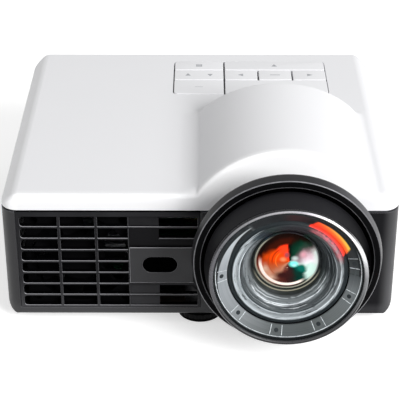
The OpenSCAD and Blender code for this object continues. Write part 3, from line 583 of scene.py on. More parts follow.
def painted_flare(look, color, turn, radius):
    """Lays a painted reflection over a ring: the coloured flare of the front glass's coating, yellow, red,
    then pink inside.
    """
    flare = look.ramp(look.math("DIVIDE", radius, RAMP_R), [
        (15.3, 232, 56, 54), (16.3, 236, 74, 36), (17.2, 238, 112, 46), (17.9, 234, 160, 70)], RAMP_R)
    flare = look.lay(flare, (234, 50, 34), look.turned(turn, 56, 80, 14), 0.9)
    flare = look.lay(flare, (228, 176, 66), look.turned(turn, 16, 40, 12), look.rise(radius, 16.9, 17.8))
    # its ends lean, more so further out
    low = look.math("SUBTRACT", turn, look.span(radius, 0, 9 / 360, 15.2, 18.3))
    high = look.math("ADD", turn, look.span(radius, 0, 5 / 360, 15.2, 18.3))
    both = look.times(look.turned(low, 19, 100, 1.2), look.turned(high, -20, 71, 1.2))
    edge = look.times(look.rise(radius, 15.2, 15.4), look.fall(radius, 18.0, 18.3))
    color = look.lay(color, flare, both, edge)
    streak = look.span(look.noise(0.8, 3), 0.25, 0.85, 0.35, 0.65)
    pink = look.times(look.turned(turn, 18, 64, 8), look.ringed(radius, 13.5, 15.2, 0.3))
    return look.lay(color, (196, 96, 104), pink, streak)


def band_look():
    """The printed ring under the front glass: grey tones of painted reflection that narrow to a wedge up and
    to the left, under the painted flare.
    """
    look = Look("scale_band", Specular_IOR_Level=0.15)
    turn, radius, _, _ = look.polar()
    # painted reflection: grey tones round the ring, dark above and to the right
    grey = look.ramp(turn, [
        (0.0, 66, 69, 70), (0.03, 46, 48, 49), (0.08, 30, 31, 32), (0.19, 18, 19, 20), (0.24, 46, 22, 24),
        (0.27, 24, 24, 26), (0.343, 26, 27, 29), (0.352, 150, 152, 153), (0.41, 164, 167, 169),
        (0.48, 134, 136, 139), (0.56, 128, 130, 132), (0.63, 112, 114, 115), (0.72, 74, 77, 77),
        (0.8, 72, 75, 75), (0.9, 92, 95, 95), (0.96, 98, 101, 102), (1.0, 66, 69, 70)])
    streak = look.streaks((turn, radius), 2.2, 4.0)
    pale = shade(srgb(150, 154, 154), 0.5)
    grey = look.mix(look.span(streak, 0, 0.4, 0.35, 0.75), grey, pale, "SOFT_LIGHT")
    outer = look.span(turn, 17.9, 19.75, 0.34, 0.66, True)
    inner = look.span(turn, 17.6, 16.1, 0.34, 0.5, True)
    wedge = look.times(look.rise(look.math("SUBTRACT", radius, inner), -0.12, 0.12),
                       look.fall(look.math("SUBTRACT", radius, outer), -0.12, 0.12))
    wedge = look.mix(look.turned(turn, 0, 124, 3), wedge, look.fall(radius, 18.6, 19.0))
    color = look.mix(wedge, srgb(26, 28, 29), grey)
    look.glow(painted_flare(look, color, turn, radius), 0.45)
    look.set(Roughness=look.span(look.noise(1.5, 4), 0.4, 0.6))


def mark_look(name, tint, sunk):
    """Printing on the ring: it shows where the ring has painted light, and sinks into the painted dark above.
    """
    look = Look(name, Roughness=0.5, Specular_IOR_Level=0.1)
    worn = look.span(look.noise(0.6, 3), 0.55, 1.0, 0.35, 0.6)
    look.glow(look.lay(srgb(*sunk), tint, look.turned(look.polar()[0], 172, 18, 8), worn), 0.45)


def rim_look():
    """The bright ring round the front glass: tooled metal, with painted reflections of what stands round it
    and a painted highlight up and to the right.
    """
    look = Look("trim_silver", Metallic=0.35, Specular_IOR_Level=0.4)
    turn, radius, _, _ = look.polar()
    # painted reflections round the ring, with the highlight up and to the right
    tone = look.ramp(turn, [
        (0.0, 112, 113, 115), (0.03, 156, 157, 159), (0.06, 226, 228, 230), (0.1, 248, 248, 248),
        (0.17, 252, 252, 252), (0.2, 216, 212, 218), (0.228, 164, 162, 168), (0.26, 156, 155, 159),
        (0.35, 116, 116, 119), (0.42, 88, 88, 92), (0.50, 74, 74, 78), (0.60, 64, 65, 66),
        (0.75, 56, 56, 58), (0.88, 64, 65, 66), (0.97, 104, 105, 107), (1.0, 112, 113, 115)])
    marks = look.noise(0.5, 4)
    tone = look.lay(tone, (50, 50, 52), look.span(marks, 0, 0.25, 0.4, 0.7))
    # painted shade and light: a dark groove and a pale lip below, a dark crest above
    lower = look.turned(turn, 205, 345, 16)
    tone = look.lay(tone, (16, 16, 17), lower, look.ringed(radius, 20.5, 20.85, 0.08), 0.85)
    tone = look.lay(tone, (30, 30, 32), look.turned(turn, 30, 160, 16), look.rise(radius, 20.85, 21.0))
    tone = look.lay(tone, (96, 97, 99), lower, look.rise(radius, 20.95, 21.1), 0.6)
    look.glow(tone, 0.25)
    look.set(Roughness=look.span(marks, 0.22, 0.4, 0.3, 0.7))
    look.bump(marks, 0.003)


def nose_look():
    """The nose's black wall, with painted shade at its right and left."""
    look = Look("nose_black", Roughness=0.5)
    turn = look.polar()[0]
    tint = look.mix(look.noise(9, 3), srgb(22, 22, 25), srgb(26, 26, 29))
    # painted shade at the right and left
    left = look.times(look.turned(turn, 150, 250, 26), 0.6)
    side = look.math("MAXIMUM", look.turned(turn, 318, 40, 26), left)
    look.set(Base_Color=look.lay(tint, (6, 6, 7), side), Specular_IOR_Level=look.span(side, 0.12, 0.0))
    look.bump(look.noise(0.6, 2), 0.004)


def horn_look():
    """The horn's black, with a painted sheen up and to the right."""
    look = Look("horn_black", Specular_IOR_Level=0.25)
    turn, radius, _, _ = look.polar()
    tint = look.mix(look.noise(12, 3), srgb(28, 28, 30), srgb(33, 33, 36))
    # painted sheen up and to the right
    tint = look.lay(tint, (82, 82, 86), look.turned(turn, 28, 52, 26), look.ringed(radius, 25.2, 27, 0.2))
    look.set(Base_Color=tint, Roughness=look.span(look.noise(4, 3), 0.28, 0.4, 0.3, 0.7))
    look.bump(look.noise(0.2, 2), 0.002)


def lip_look():
    """The two thin bright edges of the horn's rim, a painted highlight, duller on the right with painted
    shade.
    """
    look = Look("lip_grey", Specular_IOR_Level=0.4, Roughness=0.3)
    # painted highlight, with painted shade on the right
    tone = look.lay(srgb(138, 138, 142), (92, 92, 95), look.turned(look.polar()[0], 330, 30, 26))
    look.set(Base_Color=look.mix(look.noise(1.4, 3), srgb(70, 70, 73), tone))


# Painted light and shade on the step rims, each: radii, angles and fade in degrees, colour, strength
BAFFLE_ARCS = [
    (14.15, 14.4, 290, 10, 16, (192, 196, 198), 0.9), (14.45, 14.7, 130, 290, 14, (168, 172, 175), 0.8),
    (13.3, 13.48, 200, 300, 20, (166, 170, 173), 0.8), (13.1, 13.3, 320, 22, 12, (156, 160, 162), 0.85),
    (12.95, 13.2, 146, 196, 10, (180, 184, 187), 0.9), (11.12, 11.3, 214, 236, 10, (206, 208, 210), 1.0),
    (11.35, 11.62, 226, 300, 10, (196, 198, 200), 0.9), (11.7, 11.8, 240, 268, 6, (214, 216, 218), 1.0),
    (11.15, 11.35, 292, 326, 8, (200, 203, 205), 0.95), (10.8, 10.95, 316, 344, 6, (190, 193, 195), 0.9),
    (10.7, 10.85, 220, 256, 10, (176, 179, 181), 0.9), (10.2, 10.32, 214, 340, 14, (150, 154, 156), 0.9),
    (12.04, 12.14, 264, 296, 3, (196, 198, 200), 1.0), (11.86, 11.96, 264, 296, 3, (24, 26, 27), 0.9),
    (12.2, 12.32, 212, 250, 12, (150, 154, 156), 0.8), (11.2, 11.34, 345, 20, 8, (120, 124, 128), 0.8),
    (12.2, 12.36, 352, 40, 10, (110, 114, 118), 0.7), (11.9, 12.02, 150, 190, 10, (140, 144, 148), 0.8),
    (14.9, 15.05, 122, 150, 8, (170, 174, 176), 0.9), (12.5, 12.6, 318, 350, 8, (146, 150, 152), 0.8),
    (12.6, 12.75, 330, 10, 10, (84, 88, 90), 0.8), (10.4, 10.5, 190, 216, 6, (110, 114, 116), 0.8),
]


def baffle_look():
    """The stepped wall behind the front glass: dark steps with painted highlights on their rims, brightest
    below and at left, painted shade in sectors.
    """
    look = Look("lens_baffle", Specular_IOR_Level=0.12)
    turn, radius, u, v = look.polar()
    # the inner steps look a little lower than the outer ones through the glass
    sunk = look.length(u, look.math("ADD", v, look.span(radius, 0.5, 0.0, 13.0, 14.6, True)))
    flow = look.math("DIVIDE", u, radius), look.math("DIVIDE", v, radius), look.times(sunk, 0.55)
    streak = look.streaks(flow, 4.0, 5.0, 0.65)
    bent = look.stirred(sunk, 3.5, 2, 0.45)
    part = look.math("DIVIDE", sunk, RAMP_R)
    color = look.ramp(part, [
        (9.3, 30, 33, 30), (9.85, 26, 29, 27), (10.1, 66, 69, 70), (10.6, 88, 92, 93), (11.2, 112, 116, 118),
        (11.75, 104, 108, 110), (12.0, 62, 66, 68), (12.5, 76, 80, 82), (12.75, 44, 48, 50),
        (12.95, 46, 50, 52), (13.2, 128, 132, 134), (13.8, 120, 124, 126), (14.2, 152, 156, 158),
        (14.75, 144, 148, 150), (15.0, 44, 48, 50), (15.2, 32, 36, 38), (16.3, 30, 34, 36)], RAMP_R)
    painted_shade = look.ramp(part, [
        (9.3, 26, 28, 29), (11, 36, 39, 41), (12.6, 30, 33, 35), (13.4, 52, 55, 57), (14.8, 48, 51, 53),
        (15.2, 30, 34, 36)], RAMP_R)
    # painted shade over sectors of the steps
    color = look.lay(color, painted_shade, look.turned(turn, 150, 205, 20), look.fall(radius, 12.6, 13.4), 0.15)
    right = look.span(radius, 1, 0.45, 12.8, 13.6, True)
    color = look.lay(color, painted_shade, look.turned(turn, 338, 60, 18), right)
    color = look.lay(color, painted_shade, look.turned(turn, 60, 132, 14))
    dark = shade(srgb(60, 64, 66), 0.35)
    color = look.mix(look.span(streak, 0.8, 0.0, 0.34, 0.48, True), color, dark)
    # painted reflections: streaks of colour across the dark upper part
    hue = look.ramp(turn, [
        (0.12, 44, 38, 42), (0.155, 30, 62, 50), (0.18, 42, 34, 38), (0.235, 44, 36, 42), (0.27, 40, 38, 42),
        (0.305, 30, 46, 42), (0.335, 38, 44, 52), (0.36, 36, 56, 66), (0.39, 40, 46, 48)])
    hue = look.mix(1.0, hue, (0.5, 0.5, 0.5), "MULTIPLY")
    color = look.lay(color, hue, look.turned(turn, 50, 134, 12), look.fall(radius, 14.2, 15.4), 0.8)
    worn = look.span(streak, 0.4, 1.0, 0.38, 0.5, True)
    for r0, r1, a0, a1, fade, tint, much in BAFFLE_ARCS:
        ring = look.ringed(bent, r0, r1, 0.06)
        color = look.lay(color, tint, ring, look.turned(turn, a0, a1, fade), worn, much)
    # painted highlight on the cell's rim below
    rim = look.ringed(radius, 9.2, 9.6, 0.08)
    color = look.lay(color, (150, 144, 128), rim, look.turned(turn, 205, 335, 14), 0.85)
    look.glow(painted_flare(look, color, turn, radius), 0.5)
    look.set(Roughness=look.span(look.noise(2, 3), 0.35, 0.55))


# Painted reflections round the swirl: angle in degrees, colour
EYE_SECTORS = [
    (0, 200, 192, 196), (16, 182, 152, 160), (30, 126, 100, 104), (44, 40, 52, 44), (60, 12, 48, 34),
    (76, 8, 30, 20), (84, 10, 13, 9), (93, 18, 10, 8), (99, 236, 52, 24), (125, 232, 52, 14),
    (152, 200, 66, 12), (180, 172, 54, 14), (203, 164, 76, 42), (222, 162, 108, 84), (240, 92, 42, 34),
    (262, 50, 22, 22), (284, 34, 26, 24), (298, 7, 38, 31), (314, 6, 66, 56), (332, 16, 88, 76),
    (346, 160, 184, 174), (360, 200, 192, 196),
]
# Painted light and shade at the lens's edge: angles and fade in degrees, distance where it starts and is
# full, colour
EYE_EDGES = [
    (84, 162, 10, 0.53, 0.66, (50, 16, 8)), (50, 176, 16, 0.76, 0.92, (24, 12, 9)),
    (314, 350, 10, 0.56, 0.68, (176, 198, 188)), (352, 30, 12, 0.7, 0.9, (196, 204, 198)),
    (196, 236, 12, 0.6, 0.8, (196, 158, 136)),
]
# Painted reflections and highlights: middle u and v, half width, half height, blur, colour
EYE_PATCHES = [
    (-0.42, 0.16, 0.34, 0.34, 0.9, (216, 64, 8)), (-0.15, 0.4, 0.22, 0.22, 0.8, (246, 58, 26)),
    (-0.62, -0.44, 0.24, 0.2, 0.9, (186, 130, 104)), (-0.1, -0.5, 0.42, 0.2, 0.9, (46, 20, 19)),
    (0.36, -0.46, 0.2, 0.13, 0.9, (9, 40, 32)), (0.48, 0.24, 0.17, 0.18, 0.9, (178, 128, 136)),
    (-0.14, 0.06, 0.15, 0.13, 0.9, (200, 116, 74)), (-0.03, 0.22, 0.12, 0.16, 0.8, (140, 58, 60)),
    (0.22, 0.1, 0.15, 0.12, 0.9, (158, 168, 164)), (0.43, -0.24, 0.16, 0.17, 0.6, (10, 84, 72)),
    (0.18, -0.1, 0.2, 0.15, 0.7, (108, 206, 192)), (0.2, -0.14, 0.1, 0.08, 0.9, (150, 206, 194)),
]
# Painted reflected arcs: inner and outer distance, angles and fade in degrees, colour
EYE_ARCS = [
    (0.15, 0.18, 188, 286, 14, (60, 26, 22)), (0.2, 0.24, 196, 300, 16, (196, 150, 132)),
    (0.3, 0.32, 214, 280, 16, (110, 62, 50)), (0.36, 0.38, 120, 176, 14, (234, 110, 40)),
    (0.46, 0.49, 110, 168, 14, (150, 30, 10)), (0.58, 0.6, 150, 214, 14, (150, 60, 26)),
    (0.79, 0.88, 176, 308, 12, (246, 228, 216)), (0.9, 0.935, 150, 320, 14, (46, 18, 18)),
    (0.95, 1.05, 128, 336, 16, (160, 156, 140)), (0.95, 1.05, 336, 30, 16, (104, 104, 106)),
]


def coated_look():
    """The coated lens: sectors of painted reflected colour round a swirl. Distances are parts of its radius.
    """
    look = Look("coated_lens", Roughness=0.3, Specular_IOR_Level=0.0)
    turn, radius, u, v = look.polar()
    # colours sit on the dome as they are seen from above its front
    part = look.math("DIVIDE", radius, INNER_R)
    lift = look.times(look.math("SUBTRACT", 1.0, look.times(part, part)), 0.222)
    u = look.math("DIVIDE", u, INNER_R)
    v = look.math("SUBTRACT", look.math("DIVIDE", v, INNER_R), lift)
    du, dv = look.math("SUBTRACT", u, 0.05), look.math("SUBTRACT", v, -0.02)
    away = look.length(du, dv)
    angle = look.stirred(look.angle(du, dv), 3.4, 3, 0.11)
    angle = look.math("FRACT", look.math("ADD", angle, 1.0))
    color = look.ramp(angle, EYE_SECTORS, 360)
    core = look.turned(angle, 350, 46, 14)
    color = look.lay(color, (104, 84, 88), core, look.fall(away, 0.26, 0.56), 0.8)
    # painted light and shade: beyond a rough circle the dark of the top, the pale rim at the right and the
    # dark foot take over
    loose = look.stirred(away, 2.2, 3, 0.16)
    for a0, a1, fade, r0, r1, tint in EYE_EDGES:
        color = look.lay(color, tint, look.turned(angle, a0, a1, fade), look.rise(loose, r0, r1))
    for pu, pv, wu, wv, blur, tint in EYE_PATCHES:
        gap = look.length(look.math("DIVIDE", look.math("SUBTRACT", u, pu), wu),
                          look.math("DIVIDE", look.math("SUBTRACT", v, pv), wv))
        color = look.lay(color, tint, look.fall(gap, 1 - blur, 1.0))
    far = look.length(u, v)
    for r0, r1, a0, a1, fade, tint in EYE_ARCS:
        color = look.lay(color, tint, look.ringed(far, r0, r1, 0.025), look.turned(turn, a0, a1, fade))
    look.glow(color, 0.55)
    rings = look.math("SINE", look.times(radius, 9.0))
    look.bump(look.times(rings, look.span(radius, 1, 0, 0, 3.2)), 0.008)


# White and black plastics. A lit colour is for the edges, worn and with a painted highlight
cover_look()
plastic("key_white", WHITE, 0.36, grain=0.35, depth=0.002, gloss=0.35, blotch=0.008)
plastic("icon_grey", srgb(164, 166, 170), 0.5, depth=0.0)
case_look()
plastic("trim_black", srgb(34, 34, 36), 0.4, grain=0.28, gloss=0.25, edge=0.26, lit=srgb(150, 150, 155))
horn_look()
graded("panel_black", (24, 24, 26), (62, 62, 64), 0.08, 15)
graded("bezel_black", (30, 30, 32), (40, 40, 42))
graded("field_grey", (12, 12, 14), (46, 46, 48), 0.08)
plastic("field_dark", srgb(14, 14, 16), 0.45, gloss=0.06)
# painted highlight and dimmer painted highlight for rims of slots and the bezel
plastic("edge_light", srgb(148, 148, 152), 0.35, depth=0.0, gloss=0.4)
plastic("edge_dim", srgb(72, 72, 75), 0.35, depth=0.0, gloss=0.4)
nose_look()
plastic("well_black", srgb(4, 4, 5), 0.6, grain=0.2, depth=0.004, gloss=0.03)
lip_look()
plastic("window_black", srgb(1, 1, 1), 0.3, depth=0.0, gloss=0.0)
plastic("window_red", (0.04, 0.004, 0.01), 0.08, depth=0.0)
plastic("socket_black", srgb(28, 28, 30), 0.45, edge=0.12, lit=srgb(70, 70, 74))
plastic("rubber", srgb(9, 9, 10), 0.75, grain=0.5, depth=0.02, gloss=0.02)
plastic("wheel_black", srgb(8, 8, 9), 0.5, gloss=0.08, edge=0.15, lit=srgb(30, 30, 32))
plastic("inner_black", srgb(6, 6, 7), 0.8, gloss=0.02)
plastic("parts_grey", (0.05, 0.05, 0.055), 0.5, edge=0.15)
plastic("chip_ceramic", (0.42, 0.38, 0.32), 0.7, grain=0.5, depth=0.01)
plastic("board_green", (0.02, 0.12, 0.05), 0.25, grain=1.2, depth=0.01, coat=0.5)
# Metals and glass
metal("steel", (0.62, 0.62, 0.64), 0.3)
metal("socket_steel", (0.66, 0.67, 0.69), 0.25, edge=0.1)
metal("screw_dark", (0.12, 0.12, 0.125), 0.4, edge=0.12)
metal("brass", (0.72, 0.52, 0.22), 0.3, edge=0.12)
metal("copper", (0.72, 0.36, 0.2), 0.3)
metal("cast_alloy", (0.5, 0.51, 0.53), 0.5, size=0.6, depth=0.02, edge=0.3)
metal("sink_alloy", (0.6, 0.61, 0.63), 0.35, stretch=(1, 0.05, 1), edge=0.15)
clear("clear_glass", (0.97, 0.98, 0.985), 1.05)
clear("dichroic_glass", (0.8, 0.45, 0.75), 1.4)
band_look()
rim_look()
baffle_look()
coated_look()

# CAD nodes that stay take the look named by the record's slot, or by this
SLOT_LOOKS = {"lens_black": "horn_black", "lens_grey": "lens_baffle", "scale_grey": "scale_band",
              "coated_glass": "coated_lens", "fan_black": "inner_black"}
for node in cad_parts.values():
    for place in node.material_slots:
        name = place.material.name.split(".")[0]
        place.material = LOOKS[SLOT_LOOKS.get(name, name)]


# ---------- white cover ----------

def join(a, b, r):
    """The larger of two distances with the edge between rounded to r: what both solids share."""
    return np.minimum(np.maximum(a, b), -r) + np.hypot(np.maximum(a + r, 0), np.maximum(b + r, 0))


def meet(a, b, r):
    """The smaller of two distances with the hollow between filled to r: either solid."""
    return -join(-a, -b, r)


# The way the sloping shoulders face, across and up
SHOULDER = (0.6156, 0.788)


def plan_field(x, y):
    """The distance from the outline of the body as seen from above."""
    qx = np.abs(x) - (HALF_W - CORNER_R)
    qy = np.abs(y - (Y_FRONT + Y_BACK) / 2) - (DEPTH / 2 - CORNER_R)
    return np.hypot(np.maximum(qx, 0), np.maximum(qy, 0)) + np.minimum(np.maximum(qx, qy), 0) - CORNER_R


def rise(x, y):
    """The hollow at the open foot of the hill, that climbs to a line. It fades out at both ends."""
    run, r = 6.0, 18.0
    ramp_x = np.clip(x - (LENS_X - 24.1 - run), 0, run + 1)
    ends = np.clip((y - Y_FRONT - 0.5) / 3, 0, 1) * np.clip((BULGE_FOOT + 2 - y) / 4, 0, 1)
    return (r - np.sqrt(r * r - ramp_x ** 2)) * ends * (x < LENS_X)


def cover_outer(x, y, z):
    """The outside: a slab with sloping shoulders, and the half-round hill over the lens."""
    shoulder = (np.abs(x) - HALF_W + 0.4) * SHOULDER[0] + (z - Z_SPLIT - 2.2) * SHOULDER[1]
    slab = join(z - Z_TOP - rise(x, y), shoulder, 0.7)
    hill = np.hypot(x - LENS_X, z - BULGE_Z) - BULGE_R
    back = ((y - BULGE_FOOT) + BULGE_LEAN * (z - Z_TOP)) / math.hypot(1, BULGE_LEAN)
    hill = join(hill, back, 0.45)
    return join(meet(slab, hill, np.where(x < LENS_X, 0.3, 1.5)), plan_field(x, y), 1.1)


def cover_field(x, y, z):
    """The shell under that outside, open below and round the neck of the lens."""
    outer = cover_outer(x, y, z)
    shell = join(outer, -(outer + WALL - 0.1), 0.2)
    shell = join(shell, Z_SPLIT - z, 0.25)
    neck = np.hypot(x - LENS_X, z - LENS_Z) - NECK_R - 0.3
    return join(shell, -np.maximum(neck, y - Y_FRONT - 5), 0.2)


k = 1.0
grid_x = spread(-56.6, 0.3 * k, -50.2, 1.2 * k, -6.5, 0.9, -2, 0.3 * k, 3.2, 0.8 * k, 47.0, 0.5 * k, 56.6)
grid_y = spread(-36.7, 0.3 * k, -33.8, 1.0 * k, -30.8, 2.0, 7.4, 0.4 * k, 18.2, 2.2, 56.2, 1.0 * k, 58.8,
                0.3 * k, 62.2)
grid_z = spread(37.2, 0.3 * k, 44.2, 0.7 * k, 57.0)
shell = skin(cover_field, grid_x, grid_y, grid_z)
cover = piece("cover_shell", [shell], ["cover_white"], "cover_white", "top_cover", sharp=60)
opening = rect(PAD_X[0] - 0.1, PAD_X[4], PAD_Y[0], PAD_Y[3], PAD_R, 6)
cut(cover, [plate([opening], Z_TOP - WALL - 1, Z_TOP + 0.5, on_top, bevel=0)])
true_normals(cover, cover_field)

# ---------- keys ----------

KEY_GAP = 0.25


def cap(x0, x1, y0, y1):
    """A key cap between its lines. The corners at the keypad's own corners are rounder."""
    g = KEY_GAP
    radii = tuple(PAD_R - g if x in (PAD_X[0], PAD_X[4]) and y in (PAD_Y[0], PAD_Y[3]) else 0.5
                  for x, y in ((x0, y0), (x1, y0), (x1, y1), (x0, y1)))
    outline = rect(x0 + g, x1 - g, y0 + g, y1 - g, radii, 6)
    return plate([outline], CAP_BOTTOM, CAP_TOP, on_top, bevel=0.18, steps=4)


def mark(*loops):
    """A shape printed on a cap, a hair proud of it."""
    return (*plate(loops, CAP_TOP - 0.02, CAP_TOP + 0.02, on_top, bevel=0), 1)


def arrow(cx, cy, size, turn):
    """A solid triangle that points to an angle."""
    angles = [math.radians(turn + a) for a in (0, 125, 235)]
    return [(cx + size * math.cos(a), cy + size * math.sin(a)) for a in angles]


def stem(x, y):
    return lathe([(0, 38.2), (1.5, 38.2), (1.5, CAP_BOTTOM + 0.1), (0, CAP_BOTTOM + 0.1)], on_top, 20, (x, y))


# Middles of the left column, of the three others, and of the rows from the front
left_mid = (PAD_X[0] + PAD_X[1]) / 2
mids = [(PAD_X[i] + PAD_X[i + 1]) / 2 for i in (1, 2, 3)]
rows = [(PAD_Y[i] + PAD_Y[i + 1]) / 2 for i in (0, 1, 2)]
# For each key, the lines of the pad it lies between and its printed shapes
KEYS = {
    "menu": ((0, 1, 2, 3), [rect(left_mid - 1, left_mid + 1, rows[2] - 0.9, rows[2] + 0.9, 0.2),
                            rect(left_mid - 0.7, left_mid + 0.7, rows[2] + 0.1, rows[2] + 0.5, 0.05)]),
    "power": ((0, 1, 0, 1), [rect(left_mid - 1.3, left_mid + 1.3, rows[0] - 0.1, rows[0] + 0.1, 0.05)]),
    "up": ((1, 4, 2, 3), [arrow(mids[1], rows[2] - 0.2, 1.15, 90)]),
    "left": ((1, 2, 1, 2), [arrow(mids[0], rows[1], 1.15, 180)]),
    "enter": ((2, 3, 1, 2), [rect(mids[1] - 1.6, mids[1] + 1.6, rows[1] - 0.2, rows[1] + 0.2, 0.1)]),
    "right": ((3, 4, 1, 2), [arrow(mids[2], rows[1], 1.15, 0)]),
    "down": ((1, 4, 0, 1), [arrow(mids[1], rows[0] + 0.2, 1.15, 270)]),
}
CAP_LOOKS = ["key_white", "icon_grey"]
for key, ((west, east, south, north), shape) in KEYS.items():
    x0, x1, y0, y1 = PAD_X[west], PAD_X[east], PAD_Y[south], PAD_Y[north]
    solids = [cap(x0, x1, y0, y1), mark(*shape), stem((x0 + x1) / 2, (y0 + y1) / 2)]
    piece(f"cap_{key}", solids, CAP_LOOKS, "key_white", f"key_{key}", body=f"{key}_key")
rocker = [cap(PAD_X[0], PAD_X[1], PAD_Y[1], PAD_Y[2])]
rocker += [stem(left_mid + s * 4, rows[1]) for s in (-1, 1)]
rocker += [mark(arrow(left_mid + s * 3.6, rows[1], 1.1, -90 * s)) for s in (-1, 1)]
piece("cap_volume", rocker, CAP_LOOKS, "key_white", "key_volume", body="volume_key")

# ---------- front panel ----------


def slot_loop(x0, x1, top, left_r=0.1):
    return rect(x0, x1, top - SLOT_H, top, (left_r, 0.1, 0.1, left_r), 5)


tops = [SLOT_TOP - i * SLAT_PITCH for i in range(SLAT_ROWS)]
holes = []
for top in tops:
    for k in range(3):
        x0 = GRILLE_X[k] + (0.4 if k else 0)
        x1 = GRILLE_X[k + 1] - (0.4 if k < 2 else 0)
        holes.append(slot_loop(x0, x1, top, 0.1 if k else 1.0))
# Right of them a shallow field and a slot share one opening, and one more field lies above the sensor plate
field_x = (SENSOR_X[0], RIGHT_SLOT_X[0], RIGHT_SLOT_X[1])
for row in (0, 6, 7):
    holes.append(slot_loop(field_x[0], field_x[2], tops[row]))
slat = (tops[2], tops[1] - SLOT_H)
holes.append([(SENSOR_X[0], SENSOR_Z[0]), (SENSOR_X[1], SENSOR_Z[0]), (SENSOR_X[1], SENSOR_Z[1]),
              (field_x[2], SENSOR_Z[1]), (field_x[2], slat[0]), (field_x[1], slat[0]), (field_x[1], slat[1]),
              (field_x[2], slat[1]), (field_x[2], tops[1]), (SENSOR_X[0], tops[1])])
front = [(GRILLE_X[0] - 1.1, PANEL_BOTTOM + 0.05), (0.15, PANEL_BOTTOM + 0.05), (0.15, Z_SPLIT - 0.5),
         (GRILLE_X[0] - 1.1, Z_SPLIT - 0.5)]
solids = [plate([front] + holes, -2.0, -0.05, on_front, bevel=0.2, draft=0.12)]
for row in (0, 6, 7):
    shallow = rect(field_x[0] - 0.3, field_x[1], tops[row] - SLOT_H - 0.3, tops[row] + 0.3)
    solids.append((*plate([shallow], -1.9, -0.5, on_front, bevel=0.12), 4))
low = SENSOR_Z[1] - 0.3
deep = [(field_x[0] - 0.3, low), (field_x[2] + 0.3, low), (field_x[2] + 0.3, slat[0] + 0.3),
        (field_x[1], slat[0] + 0.3), (field_x[1], tops[1] + 0.3), (field_x[0] - 0.3, tops[1] + 0.3)]
solids.append((*plate([deep], -1.9, -0.5, on_front, bevel=0.12), 5))
RIM_LOOKS = ["edge_light", "edge_dim", "well_black"]
panel = piece("vent_panel", solids, ["panel_black", *RIM_LOOKS, "field_grey", "field_dark"], "trim_black",
              "front_grille")
# Rims of the slots that face up get a painted highlight, upright ones a dimmer painted highlight, and the
# walls behind them painted shade in black
for face in panel.data.polygons:
    n, c = face.normal, face.center / MM
    if face.material_index:
        continue
    if Y_FRONT - c.y > -0.3 and n.y > -0.97:
        outer = c.z > Z_SPLIT - 1 or c.z < PANEL_BOTTOM + 0.4
        face.material_index = 0 if outer else 1 if n.z > 0.3 else 2 if abs(n.x) > 0.35 else 3
    elif abs(n.y) < 0.2:
        face.material_index = 3

outline = rect(SENSOR_X[0] + 0.05, SENSOR_X[1] - 0.05, SENSOR_Z[0] + 0.05, SENSOR_Z[1] - 0.05, 0.35)
window = stadium(*WINDOW_C, WINDOW_W, WINDOW_H)
bezel = plate([outline, window], -1.15, 0.15, on_front, bevel=0.22, steps=4)
bezel = piece("sensor_bezel", [bezel], ["bezel_black", *RIM_LOOKS], "trim_black", "sensor_plate")
# Rims facing up or to the left get a painted highlight, the window's rim a dimmer one, the walls behind
# painted shade in black
for face in bezel.data.polygons:
    n, c = face.normal, face.center / MM
    if Y_FRONT - c.y > -0.1 and n.y > -0.97:
        inside = abs(c.x - WINDOW_C[0]) < 5.5 and abs(c.z - WINDOW_C[1]) < 3
        face.material_index = 2 if inside else 1 if n.z > 0.3 or n.x < -0.3 else 0
    elif abs(n.y) < 0.2:
        face.material_index = 3

# ---------- lens ----------

horn = soft([(NECK_R - 1.8, -4), (NECK_R + 2.4, -4), (NECK_R + 2.4, -2.1), (NECK_R, -2.1), (NECK_R, 0.8, 0.8),
             (NECK_R + 1.4, 3.6, 3), (NECK_R + 4.4, 9, 5), (HORN_R - 0.2, 14.1, 1.5), (HORN_R, 14.9, 0.5),
             (HORN_R - 0.55, 17.5, 0.34), (23.45, 17.7, 0.34), (23.1, 16.2, 1), (NECK_R + 2.4, 10, 4),
             (NECK_R - 0.1, 4.4, 3), (NECK_R - 1.8, 1.4, 1)], 0.15, 5)
HORN_LOOKS = ["horn_black", "well_black", "lip_grey"]
horn_shell = piece("horn_shell", [lathe(horn, on_lens, 192)], HORN_LOOKS, "lens_black", "lens_horn")
# The rim's front face and the inner wall take painted shade in near black, the two lips a painted highlight
for face in horn_shell.data.polygons:
    x, y, z = face.center / MM
    r, t = math.hypot(x - LENS_X, z - LENS_Z), Y_FRONT - y
    lips = min(math.hypot(r - HORN_R + 0.6, t - 17.45), math.hypot(r - 23.52, t - 17.63))
    inside = r < HORN_R - 0.7 and t > 4 and face.normal.y < 0.5
    face.material_index = 2 if lips < 0.17 else 1 if inside else 0

nose = soft([(14.6, 4), (15.3, 4), (16.1, 7.2, 2), (19.3, 12.6, 4), (22.3, 17.6, 0.6), (22.5, 19, 0.5),
             (NOSE_R + 0.1, 24.6, 0.2), (NOSE_R - 0.5, 24.6), (NOSE_R - 0.5, 21.9), (17.2, 21.9),
             (16.3, 12.8), (14.6, 12.8)], 0.08)
piece("nose_shell", [lathe(nose, on_lens, 192)], ["nose_black"], "lens_black", "lens_nose")
rim = soft([(NOSE_R - 1.1, 24.65), (NOSE_R, 24.65), (NOSE_R, 25.1), (NOSE_R - 0.35, LENS_REACH),
            (NOSE_R - 0.9, LENS_REACH - 0.05), (NOSE_R - 1.1, 25.2)], 0.22)
piece("bright_rim", [lathe(rim, on_lens, 224)], ["trim_silver"], "trim_silver", "lens_trim_ring")

